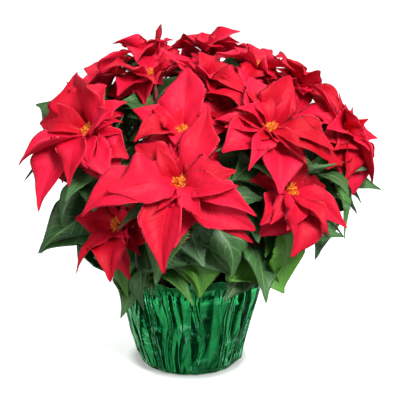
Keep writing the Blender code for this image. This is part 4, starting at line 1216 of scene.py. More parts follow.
    def between_rings(self, t: np.ndarray, values: tuple) -> np.ndarray:
        """Values that the solid has at its rings, drawn out in straight lines between them."""
        return np.interp(t, [station for station, _ in self.blade.rings], values)

    def half_width(self, t: np.ndarray, side: int, place: float, height: float) -> np.ndarray:
        """Half width on one side: the width rule times the edge factor, shoulder and point.

        Args:
            t: Stations.
            side: 0 for the left edge, 1 for the right.
            place: The station of the shoulder's corner.
            height: How far it stands out, as a share of the half width.

        Returns:
            The half width at each station.
        """
        blade = self.blade
        start, rise, fall = FINE_LEAF_WIDTH if blade.is_leaf else FINE_BRACT_WIDTH
        peak = rise / (rise + fall)
        along = np.clip((t - start) / (1 - start), 0, 1)
        share = along ** rise * (1 - along) ** fall / (peak ** rise * (1 - peak) ** fall)
        corner = np.clip(np.minimum((t - place + 0.24) / 0.24, (place + 0.10 - t) / 0.10), 0, 1)
        point = 1 - 0.5 * np.clip((t - 0.58) / 0.3, 0, 1) * (1 - 0.3 * np.clip(
            (t - 0.88) / 0.12, 0, 1))
        width = blade.half_width * share * self.between_rings(t, blade.edges[side])
        width = width * (1 + height * corner) * point
        if blade.is_leaf:
            foot = self.stalk_radius * np.clip((0.42 - t) / 0.15, 0, 1)
        else:
            foot = self.root_half_width * np.clip((0.3 - t) / 0.25, 0, 1)
        return np.maximum(np.maximum(width, foot), self.least_half_width)


# Finishes
class Nodes:
    """Shader nodes of one material or world: adds them, sets them and links them."""

    def __init__(self, name: str, world: bool = False) -> None:
        """Starts a material with its Principled shader, or a world with its background."""
        self.material = (bpy.data.worlds if world else bpy.data.materials).new(name)
        self.material.use_nodes = True
        self.tree = self.material.node_tree
        self.shader = self.tree.nodes["Background" if world else "Principled BSDF"]

    def add(self, kind: str, inputs: Optional[dict] = None, **settings) -> bpy.types.Node:
        """Adds a node. An input is given a value, or the socket that it is linked to."""
        node = self.tree.nodes.new(kind)
        for name, value in settings.items():
            setattr(node, name, value)
        for key, value in (inputs or {}).items():
            self.feed(node.inputs[key], value)
        return node

    def feed(self, target: bpy.types.NodeSocket, value: object) -> None:
        """Sets an input, or links a socket to it."""
        if isinstance(value, bpy.types.NodeSocket):
            self.tree.links.new(value, target)
        else:
            target.default_value = value

    def set(self, **values: object) -> None:
        """Sets or links the shader's inputs, with spaces written as underscores."""
        for name, value in values.items():
            self.feed(self.shader.inputs[name.replace("_", " ")], value)

    def math(self, operation: str, *values: object) -> bpy.types.NodeSocket:
        """One arithmetic step."""
        return self.add("ShaderNodeMath", dict(enumerate(values)), operation=operation).outputs[0]

    def ramp(self, value: object, low: float, high: float, start: float = 0.0,
             end: float = 1.0) -> bpy.types.NodeSocket:
        """A smooth step: start up to low, end from high on."""
        node = self.add("ShaderNodeMapRange", {0: value, 1: low, 2: high, 3: start, 4: end},
                        interpolation_type="SMOOTHSTEP")
        return node.outputs[0]

    def mix(self, factor: object, first: object, second: object) -> bpy.types.NodeSocket:
        """Mixes two colours, each a triple or a socket."""
        first, second = (colour if isinstance(colour, bpy.types.NodeSocket) else (*colour, 1.0)
                         for colour in (first, second))
        node = self.add("ShaderNodeMix", {0: factor, 6: first, 7: second}, data_type="RGBA")
        return node.outputs[2]

    def place(self) -> bpy.types.NodeSocket:
        """Where a point lies on its piece."""
        return self.add("ShaderNodeTexCoord").outputs["Object"]

    def noise(self, scale: float, detail: float = 3.0,
              roughness: float = 0.5) -> bpy.types.NodeSocket:
        """Clouded noise. The scale is how many clouds stand in a metre."""
        node = self.add("ShaderNodeTexNoise", {"Vector": self.place(), "Scale": scale,
                                               "Detail": detail, "Roughness": roughness})
        return node.outputs["Fac"]

    def growth(self) -> list[bpy.types.NodeSocket]:
        """Tone, side and ripeness of a point."""
        node = self.add("ShaderNodeAttribute", attribute_name="growth")
        return list(self.add("ShaderNodeSeparateColor", {0: node.outputs["Color"]}).outputs)

    def along_across(self) -> list[bpy.types.NodeSocket]:
        """How far along and how far across the piece a point lies."""
        node = self.add("ShaderNodeUVMap", uv_map="along_across")
        return list(self.add("ShaderNodeSeparateXYZ", {0: node.outputs[0]}).outputs)[:2]

    def bump(self, height: bpy.types.NodeSocket, strength: float, distance: float) -> None:
        """Raises the skin by a height."""
        node = self.add("ShaderNodeBump", {"Height": height, "Strength": strength,
                                           "Distance": distance})
        self.set(Normal=node.outputs[0])


@dataclass(frozen=True)
class BladeFinish:
    """Skin of a bract or a leaf: a midrib and slanting side veins, a fine net between them, a pale
    edge, a paler underside and a tone of its own for each blade."""
    name: str
    deep: tuple
    bright: tuple
    vein: tuple
    edge: tuple
    under: tuple
    ripe: tuple
    vein_show: float
    roughness: float
    specular: float
    sheen: float
    sheen_tint: tuple
    subsurface: float
    edge_from: float = 0.955
    stalk: Optional[tuple] = None
    vein_width: float = 0.085
    net_scale: float = 420.0
    net_width: float = 0.18
    net_show: float = 0.22
    edge_show: float = 0.8
    under_show: float = 0.75
    relief: float = 0.5 * MM

    def material(self) -> bpy.types.Material:
        """Builds the nodes."""
        nodes = Nodes(self.name)
        tone, side, ripeness = nodes.growth()
        along, across = nodes.along_across()
        off = nodes.math("ABSOLUTE", nodes.math("MULTIPLY_ADD", across, 2.0, -1.0))
        right = nodes.math("GREATER_THAN", across, 0.5)
        phase = nodes.math("MULTIPLY", VEIN_PAIRS,
                           nodes.math("MULTIPLY_ADD", off, -VEIN_SLANT, along))
        phase = nodes.math("MULTIPLY_ADD", right, VEIN_SHIFT, phase)
        phase = nodes.math("MULTIPLY_ADD", nodes.noise(60.0, 2.0), 0.35, phase)
        line = nodes.ramp(nodes.math("PINGPONG", phase, 0.5), 0.0, self.vein_width, 1.0, 0.0)
        line = nodes.math("MULTIPLY", line, nodes.ramp(off, 0.75, 1.0, 1.0, 0.15))
        rib = nodes.ramp(off, 0.0, self.vein_width, 1.0, 0.0)
        veins = nodes.math("MAXIMUM", nodes.math("MULTIPLY", line, 0.7), rib)
        net = nodes.add("ShaderNodeTexVoronoi", {"Vector": nodes.place(), "Scale": self.net_scale},
                        feature="DISTANCE_TO_EDGE").outputs[0]
        net = nodes.ramp(net, 0.0, self.net_width, 1.0, 0.0)
        cloud = nodes.noise(38.0, 4.0)
        shade = nodes.math("MULTIPLY_ADD", cloud, 0.7, nodes.math("MULTIPLY", tone, 0.6))
        skin = nodes.mix(nodes.ramp(shade, 0.2, 1.0), self.deep, self.bright)
        skin = nodes.mix(ripeness, skin, self.ripe)
        skin = nodes.mix(nodes.math("MULTIPLY", veins, self.vein_show), skin, self.vein)
        skin = nodes.mix(nodes.math("MULTIPLY", net, self.net_show * self.vein_show), skin,
                         self.vein)
        margin = nodes.math("MULTIPLY", nodes.ramp(off, self.edge_from, 1.0),
                            nodes.ramp(along, 0.2, 0.4))
        skin = nodes.mix(nodes.math("MULTIPLY", margin, self.edge_show), skin, self.edge)
        beneath = nodes.math("SUBTRACT", 1.0, nodes.ramp(side, 0.3, 0.45))
        skin = nodes.mix(nodes.math("MULTIPLY", beneath, self.under_show), skin, self.under)
        if self.stalk is not None:
            skin = nodes.mix(nodes.ramp(along, 0.26, 0.32, 1.0, 0.0), skin, self.stalk)
        height = nodes.math("MULTIPLY_ADD", nodes.noise(900.0, 2.0), 0.25,
                            nodes.math("MULTIPLY", veins, -1.0))
        height = nodes.math("MULTIPLY_ADD", nodes.noise(170.0, 3.0), 1.6, height)
        height = nodes.math("MULTIPLY_ADD", net, -self.net_show, height)
        nodes.bump(height, 0.5, self.relief)
        nodes.set(Base_Color=skin, Roughness=self.roughness, Sheen_Weight=self.sheen,
                  Sheen_Roughness=0.35, Sheen_Tint=(*self.sheen_tint, 1.0),
                  Subsurface_Weight=self.subsurface, Subsurface_Scale=1.2 * MM,
                  Subsurface_Radius=(1.0, 0.35, 0.2), Specular_IOR_Level=self.specular)
        return nodes.material


@dataclass(frozen=True)
class CyathiumFinish:
    """Waxy skin of the small flowers: green cups, yellow glands and red stamens by ripeness."""
    name: str = "cyathium_wax"
    green: tuple = (0.28, 0.30, 0.02)
    yellow: tuple = (0.88, 0.38, 0.012)
    orange: tuple = (0.84, 0.15, 0.006)
    red: tuple = (0.55, 0.02, 0.005)
    pollen: tuple = (0.95, 0.55, 0.08)

    def material(self) -> bpy.types.Material:
        """Builds the nodes."""
        nodes = Nodes(self.name)
        tone, _, ripeness = nodes.growth()
        ripe = nodes.math("MULTIPLY_ADD", nodes.noise(500.0, 2.0), 0.2,
                          nodes.math("SUBTRACT", ripeness, 0.1))
        skin = nodes.mix(nodes.ramp(ripe, 0.05, 0.35), self.green, self.yellow)
        skin = nodes.mix(nodes.ramp(ripe, 0.4, 0.65), skin, self.orange)
        skin = nodes.mix(nodes.ramp(ripe, 0.7, 0.95), skin, self.red)
        skin = nodes.mix(nodes.math("MULTIPLY", tone, 0.22), skin, self.pollen)
        nodes.bump(nodes.noise(1600.0, 2.0), 0.3, 0.2 * MM)
        nodes.set(Base_Color=skin, Roughness=0.38, Coat_Weight=0.3, Coat_Roughness=0.25,
                  Subsurface_Weight=0.15, Subsurface_Scale=1.0 * MM)
        return nodes.material


@dataclass(frozen=True)
class FoilFinish:
    """Metallised film: green metal with pale marks, partly wear and partly painted highlight,
    finely crazed between its creases.
    """
    name: str = "foil_film"
    colour: tuple = (0.008, 0.48, 0.115)
    deep: tuple = (0.003, 0.28, 0.06)
    pale: tuple = (0.13, 0.72, 0.31)

    def material(self) -> bpy.types.Material:
        """Builds the nodes."""
        nodes = Nodes(self.name)
        tall = nodes.add("ShaderNodeMapping", {0: nodes.place(), 3: (1.0, 1.0, 0.35)}).outputs[0]
        cells = nodes.add("ShaderNodeTexVoronoi", {"Vector": tall, "Scale": 120.0}).outputs[0]
        shade = nodes.noise(60.0, 4.0)
        skin = nodes.mix(nodes.ramp(shade, 0.3, 0.75, 0.0, 0.5), self.colour, self.deep)
        fine = nodes.noise(110.0, 2.0)
        # Pale marks in noise patches: partly wear, partly painted highlight that brightens the
        # reflections there.
        wear_and_highlight_patches = nodes.ramp(nodes.noise(26.0, 1.0), 0.5, 0.64)
        wear_and_highlight_marks = nodes.math("MULTIPLY", wear_and_highlight_patches, nodes.ramp(fine, 0.5, 0.6))
        skin = nodes.mix(wear_and_highlight_marks, skin, self.pale)
        crumple = nodes.math("MULTIPLY", nodes.math("MULTIPLY", fine, wear_and_highlight_patches), 2.6)
        height = nodes.math("MULTIPLY_ADD", shade, 0.3, crumple)
        nodes.bump(nodes.math("MULTIPLY_ADD", cells, 0.2, height), 0.4, 1.0 * MM)
        nodes.set(Base_Color=skin, Metallic=1.0,
                  Roughness=nodes.ramp(shade, 0.3, 0.8, 0.16, 0.28),
                  Coat_Weight=0.3, Coat_Roughness=0.06, Coat_IOR=1.7)
        return nodes.material


@dataclass(frozen=True)
class StemFinish:
    """Stems: corky brown near the soil, green higher up, with pores and a red blush."""
    name: str = "stem_bark"
    bark: tuple = (0.16, 0.10, 0.055)
    green: tuple = (0.10, 0.22, 0.045)
    blush: tuple = (0.30, 0.045, 0.05)
    pore: tuple = (0.35, 0.3, 0.2)

    def material(self) -> bpy.types.Material:
        """Builds the nodes."""
        nodes = Nodes(self.name)
        height = nodes.add("ShaderNodeSeparateXYZ", {0: nodes.place()}).outputs[2]
        cloud = nodes.noise(90.0, 4.0)
        level = nodes.math("MULTIPLY_ADD", cloud, 0.05, height)
        skin = nodes.mix(nodes.ramp(level, 0.13, 0.19), self.bark, self.green)
        skin = nodes.mix(nodes.ramp(level, 0.24, 0.33), skin, self.blush)
        pores = nodes.noise(420.0, 3.0, 0.7)
        skin = nodes.mix(nodes.ramp(pores, 0.55, 0.75, 0.0, 0.5), skin, self.pore)
        nodes.bump(nodes.math("MULTIPLY_ADD", pores, 0.6, cloud), 0.5, 0.5 * MM)
        nodes.set(Base_Color=skin, Roughness=0.6)
        return nodes.material


@dataclass(frozen=True)
class PotFinish:
    """Moulded plastic of the grow pot, dull green, with fine moulding grain and dust."""
    name: str = "pot_plastic"
    colour: tuple = (0.02, 0.06, 0.03)
    dust: tuple = (0.14, 0.12, 0.09)

    def material(self) -> bpy.types.Material:
        """Builds the nodes."""
        nodes = Nodes(self.name)
        dust = nodes.noise(70.0, 5.0, 0.65)
        skin = nodes.mix(nodes.ramp(dust, 0.55, 0.8, 0.0, 0.35), self.colour, self.dust)
        nodes.bump(nodes.noise(1400.0, 2.0), 0.25, 0.1 * MM)
        nodes.set(Base_Color=skin, Roughness=nodes.ramp(dust, 0.4, 0.8, 0.4, 0.7))
        return nodes.material


@dataclass(frozen=True)
class SoilFinish:
    """Moist peat with fibres, and white grains of perlite where the tone is high."""
    name: str = "peat"
    dark: tuple = (0.018, 0.011, 0.007)
    light: tuple = (0.085, 0.052, 0.03)
    perlite: tuple = (0.72, 0.69, 0.62)
    fibre: tuple = (0.2, 0.12, 0.06)

    def material(self) -> bpy.types.Material:
        """Builds the nodes."""
        nodes = Nodes(self.name)
        tone, _, _ = nodes.growth()
        crumbs = nodes.noise(260.0, 5.0, 0.7)
        fibres = nodes.noise(900.0, 3.0, 0.6)
        skin = nodes.mix(nodes.ramp(crumbs, 0.35, 0.7), self.dark, self.light)
        skin = nodes.mix(nodes.ramp(fibres, 0.62, 0.75, 0.0, 0.5), skin, self.fibre)
        skin = nodes.mix(nodes.ramp(tone, 0.6, 0.9), skin, self.perlite)
        nodes.bump(nodes.math("MULTIPLY_ADD", fibres, 0.4, crumbs), 0.8, 1.2 * MM)
        nodes.set(Base_Color=skin, Roughness=0.92)
        return nodes.material


@dataclass(frozen=True)
class FloorFinish:
    """A plain white studio floor with the faintest grain, and a painted contact shadow: its colour
    and glow are darker close round what stands on it.
    """
    name: str = "studio_floor"
    shade_reach: float = 0.026
    darkest: float = 0.42
    glow: float = 0.76
    dark: tuple = (0.68, 0.68, 0.68)
    light: tuple = (0.70, 0.70, 0.70)

    def material(self) -> bpy.types.Material:
        """Builds the nodes."""
        nodes = Nodes(self.name)
        # Painted contact shadow: an occlusion test darkens the floor's colour and glow close round
        # the pot.
        near = nodes.add("ShaderNodeAmbientOcclusion", {"Distance": self.shade_reach}).outputs["AO"]
        painted_contact_shadow = nodes.ramp(near, 0.4, 0.85, self.darkest, 1.0)
        skin = nodes.mix(nodes.noise(40.0, 3.0), self.dark, self.light)
        nodes.set(Base_Color=nodes.mix(painted_contact_shadow, (0.0, 0.0, 0.0), skin), Roughness=0.8,
                  Emission_Color=(1.0, 1.0, 1.0, 1.0),
                  Emission_Strength=nodes.math("MULTIPLY", painted_contact_shadow, self.glow))
        return nodes.material


# The holder: foil, pot and soil
def creased(turns: np.ndarray, rise: np.ndarray, around: int, up: float, lean: float,
            rng: np.random.Generator) -> np.ndarray:
    """Crumpled sheet: flat facets with sharp creases between them.

    Random heights from -1 to 1 stand on a lattice of triangles, round the pot and up it, sheared
    by lean and closed after one turn. Each triangle is a plane through its three heights.

    Args:
        turns: Angles, in turns.
        rise: How far up the foil, from 0 to 1.
        around: Lattice steps in one turn.
        up: Lattice steps from base to lip.
        lean: Steps that the lattice leans aside on its way up.
        rng: Draws of the heights.

    Returns:
        The height at each point.
    """
    rows = int(up) + 3
    heights = rng.uniform(-1, 1, (rows, around))
    x = turns * around + lean * rise + 0.25 * np.sin(2 * np.pi * (3 * turns + 1.2 * rise))
    y = rise * up + 0.4 * np.sin(2 * np.pi * 5 * turns) + 0.5
    i, j = np.floor(x).astype(int), np.floor(y).astype(int)
    fx, fy = x - i, y - j
    j = np.clip(j, 0, rows - 2)

    def at(di: int, dj: int) -> np.ndarray:
        """Lattice heights at an offset."""
        return heights[j + dj, (i + di) % around]

    lower = at(0, 0) + (at(1, 0) - at(0, 0)) * fx + (at(1, 1) - at(1, 0)) * fy
    upper = at(0, 0) + (at(1, 1) - at(0, 1)) * fx + (at(0, 1) - at(0, 0)) * fy
    return np.where(fx > fy, lower, upper)


@dataclass
class Holder:
    """Foil wrap, grow pot and soil.

    The foil's folds, from the widest to the finest, are in mm. It keeps outside of pot_outside:
    heights and radii in metres.
    """
    foil_columns: int = 420
    foil_rows: int = 96
    inner_rows: int = 24
    film: float = 0.35 * MM
    wide_fold: float = 2.6
    groove: float = 1.7
    groove_width: float = 0.16
    fold: float = 1.2
    crumple: float = 1.8
    fine_fold: tuple = (0.1, 0.4)
    brim: float = 2.4
    pot_outside: tuple = ((0.0, 0.005, 0.09, 0.091, 0.104, 0.105),
                          (0.0, 0.0558, 0.0768, 0.0816, 0.0816, 0.0))
    pot_columns: int = 96
    soil_columns: int = 150
    soil_rows: int = 44
    perlite_grains: int = 60
    pot_profile_mm: tuple = ((46.0, 1.1), (50.2, 1.5), (53.6, 3.0), (55.0, 5.15), (76.0, 90.0),
                             (78.4, 90.4), (80.2, 91.0), (80.7, 92.2), (80.8, 103.0),
                             (80.4, 103.8), (79.6, 104.0), (78.8, 103.6), (74.4, 90.0),
                             (53.4, 6.75), (52.4, 4.2), (50.0, 3.0), (46.0, 2.7))

    def solids(self) -> list[Solid]:
        """The foil, the pot and the soil as model.glb holds them."""
        solids = []
        for node in ("foil_wrap", "grow_pot", "soil"):
            mesh = bpy.data.objects[node].data
            solids.append(([tuple(vertex.co) for vertex in mesh.vertices],
                           [tuple(polygon.vertices) for polygon in mesh.polygons]))
        return solids

    def foil_rows_at(self, angle: float) -> np.ndarray:
        """Radius, height and pleat share of each row at an angle round the pot, in mm.

        The sheet's corners stand out at the right, the left and, less, at the back: each is the
        sixth power of a cosine. The lip waves by two sines.
        """
        corner = max(0.0, math.cos(angle)) ** 6 + max(0.0, math.cos(angle - math.pi)) ** 6
        corner += 0.6 * max(0.0, math.cos(angle - math.pi / 2)) ** 6
        wave = math.sin(5 * angle + 0.7) + 0.6 * math.sin(9 * angle + 2.1)
        lip_radius = FOIL_LIP[0] + FOIL_CORNER[0] * corner + FOIL_WAVE[0] * wave
        lip_height = FOIL_LIP[1] + FOIL_CORNER[1] * corner + FOIL_WAVE[1] * wave
        neck_radius, neck_height, _ = FOIL_BODY[-1]
        collar = (0.42 * neck_radius + 0.58 * lip_radius - 3.5, 0.5 * (neck_height + lip_height),
                  FOIL_COLLAR)
        return np.array((*FOIL_BODY, collar, (lip_radius, lip_height, FOIL_LIP[2])))

    def foil_pleats(self) -> tuple[np.ndarray, np.ndarray, np.ndarray]:
        """Angle, radius and height of the solid's columns at each of its rows."""
        rng = random.Random("foil")
        step = 2 * math.pi / FOIL_COLUMNS
        angles, radii, heights = [], [], []
        for column in range(FOIL_COLUMNS):
            base_angle = column * step + 0.22 * step * rng.uniform(-1, 1)
            slant = 0.5 * step * rng.uniform(-1, 1)
            depth = (1 if column % 2 == 0 else -1) * FOIL_PLEAT * rng.uniform(0.55, 1.0)
            rows = self.foil_rows_at(base_angle)
            row = np.arange(len(rows))
            angles.append(base_angle + 0.6 * slant * (row / LIP_ROW - 0.6))
            radii.append(rows[:, 0] * MM + depth * rows[:, 2])
            heights.append(rows[:, 1] * MM)
        return np.array(angles), np.array(radii), np.array(heights)

    def foil_grid(self, rows: np.ndarray, inset: float) -> np.ndarray:
        """Points of the foil at rows from 0, the base's edge, to 7, the lip.

        Between two of the solid's columns and rows the radius and the height go in straight
        lines, rounded at the neck by a mean of three places. Long folds of two sizes stand on
        that, with a sharp groove wherever the widest crosses 0. Patches of the body, the neck and
        the foot are crushed more finely. The neck's height waves, and the pot stays inside.

        Args:
            rows: Row numbers with fractions.
            inset: How far the points lie inside the outer face.

        Returns:
            One ring of points a row.
        """
        angles, radii, heights = self.foil_pleats()
        turns = np.arange(self.foil_columns) / self.foil_columns
        by_row = []
        for values in (angles, radii, heights):
            near = []
            for shift in (-0.4, 0.0, 0.4):
                at = np.clip(rows + shift * np.clip(1.6 - np.abs(rows - 4.6), 0, 1), 0, LIP_ROW)
                low = np.minimum(at.astype(int), LIP_ROW - 1)
                part = (at - low)[:, None]
                near.append((1 - part) * values.T[low] + part * values.T[low + 1])
            by_row.append(sum(near) / 3)
        radius, height = (np.array([np.interp(turns * 2 * np.pi, row_angles, row_values,
                                              period=2 * np.pi)
                                    for row_angles, row_values in zip(by_row[0], values)])
                          for values in by_row[1:])
        turns = np.broadcast_to(turns, height.shape)
        rows = rows[:, None]
        rng = np.random.default_rng(11)
        grow = np.clip((rows - 1.1) / 0.9, 0, 1)
        neck = 0.7 * np.exp(-((rows - 5.0) / 0.3) ** 2)
        rise = height / FOIL_HEIGHT
        wide = creased(turns, rise, 30, 0.6, 0.4, rng)
        groove = np.maximum(0.0, 1 - np.abs(wide) / self.groove_width)
        patch = np.clip(1.8 * creased(turns, rise, 9, 3.0, 0.0, rng) - 0.5, 0, 1)
        foot = np.clip(1 - height / (36 * MM), 0, 1)
        crush = 0.8 * patch + neck + 0.45 * foot
        crease = (self.wide_fold * wide - self.groove * groove
                  + self.fold * creased(turns, rise, 47, 1.4, -0.7, rng)
                  + self.crumple * crush * (0.5 - np.abs(creased(turns, rise, 46, 9.0, 2.4, rng)))
                  + (self.fine_fold[0] + self.fine_fold[1] * crush)
                  * creased(turns, rise, 104, 9.0, -3.1, rng))
        brim = self.brim * np.exp(-((rows - 4.3) / 0.7) ** 2)
        height = height + MM * brim * creased(turns, 0 * rise, 21, 1.0, 0.0, rng)
        radius = radius + MM * grow * crease - inset
        height = height + 0.5 * MM * np.clip(rows - (LIP_ROW - 1), 0, 1) * crease
        radius = np.maximum(radius, np.interp(height, *self.pot_outside)
                            + self.film + 0.4 * MM - inset)
        return np.stack((radius * np.cos(2 * np.pi * turns), radius * np.sin(2 * np.pi * turns),
                         height), axis=-1)

    def foil(self) -> Surface:
        """The film: up its outer face, over the lip and down its inner face."""
        rows = np.interp(np.linspace(0, 1, self.foil_rows), [0, 0.06, 0.2, 0.72, 1.0],
                         [0, 1, 2.2, 4.2, LIP_ROW])
        outer = self.foil_grid(rows, 0.0)
        inner = self.foil_grid(np.linspace(LIP_ROW, 1.0, self.inner_rows), self.film)
        rings = np.concatenate((outer, inner))
        rings[-1, :, 2] += self.film
        return self.turned_surface(rings, (0, 0, 0.0), (0, 0, rings[-1, 0, 2]))

    @staticmethod
    def turned_surface(rings: np.ndarray, start: tuple, end: tuple, tone: float = 0.5) -> Surface:
        """A closed surface through rings round the upright axis."""
        sections, around, _ = rings.shape
        uv = np.stack(np.meshgrid(np.linspace(0, 1, sections), np.linspace(0, 1, around),
                                  indexing="ij"), axis=-1)
        return Surface.loft(rings, np.array(start), np.array(end), uv,
                            np.array((tone, 1.0, 0.0)))

    @staticmethod
    def lathe(profile: np.ndarray, columns: int) -> np.ndarray:
        """Rings of points: each point of the profile carried round the upright axis."""
        angles = np.linspace(0, 2 * np.pi, columns, endpoint=False)[None]
        radius, height = profile[:, :1], profile[:, 1:]
        return np.stack((radius * np.cos(angles), radius * np.sin(angles), height + 0 * angles),
                        axis=-1)

    def pot(self) -> Surface:
        """The grow pot with its rolled rim."""
        profile = np.array(self.pot_profile_mm) * MM
        rings = self.lathe(profile, self.pot_columns)
        return self.turned_surface(rings, (0, 0, profile[0, 1]), (0, 0, profile[-1, 1]))

    def soil(self) -> Surface:
        """Peat: a heaped disc whose top is roughened, with grains of perlite lying in it."""
        rng = np.random.default_rng(5)
        radii = np.linspace(SOIL_RADIUS, 1.5 * MM, self.soil_rows)
        share = radii / SOIL_RADIUS
        heights = SOIL_LEVEL + np.interp(share, [0, 0.6, 1], [SOIL_HEAP, 0, -SOIL_EDGE])
        top = self.lathe(np.stack((radii, heights), axis=-1), self.soil_columns)
        turns = np.linspace(0, 2 * np.pi, self.soil_columns, endpoint=False)[None]
        rough = sum(rng.uniform(0.3, 0.9) * np.sin(waves * turns + rng.uniform(0, 6)
                                                   + share[:, None] * rng.uniform(5, 40))
                    for waves in (3, 5, 9, 14, 23, 31))
        rough = 0.5 * rough + rng.normal(0, 0.45, rough.shape)
        rough[0] = -1.0
        top[..., 2] += MM * 0.8 * rough
        below = self.lathe(np.array(((44.0, 3.4), (51.5, 5.0), (54.0, 9.0))) * MM,
                           self.soil_columns)
        bed = self.turned_surface(np.concatenate((below, top)), (0, 0, 3.4 * MM),
                                  (0, 0, SOIL_LEVEL + SOIL_HEAP), 0.0)
        return Surface.joined((bed, *(self.grain(rng) for _ in range(self.perlite_grains))))

    def grain(self, rng: np.random.Generator) -> Surface:
        """One grain of perlite: a small lumpy ball, half sunk in the peat."""
        size = rng.uniform(0.8, 1.9) * MM
        angle, out = rng.uniform(0, 2 * np.pi), GRAIN_REACH * math.sqrt(rng.uniform(0, 1))
        centre = np.array((out * math.cos(angle), out * math.sin(angle),
                           SOIL_LEVEL + 1.2 * MM - SOIL_EDGE * (out / GRAIN_REACH) ** 3))
        height = np.array((-0.7, 0.0, 0.7)) * size
        profile = np.stack((np.sqrt(size ** 2 - height ** 2), height), axis=-1)
        rings = self.lathe(profile, 7) * (1 + rng.uniform(-0.2, 0.2, (3, 7, 1))) + centre
        pole = np.array((0, 0, size))
        return self.turned_surface(rings, centre - pole, centre + pole, 1.0)


# Building the pieces
# Tips of young lime-green leaves, in mm, and how lime-green they are
LIME_LEAVES = (((5, -120, 111), 0.4), ((14, -114, 121), 0.8), ((103, -104, 119), 1.0),
               ((84, -112, 166), 0.5), ((-70, -108, 116), 0.45), ((182, -40, 158), 0.3),
               ((60, -60, 330), 0.7))


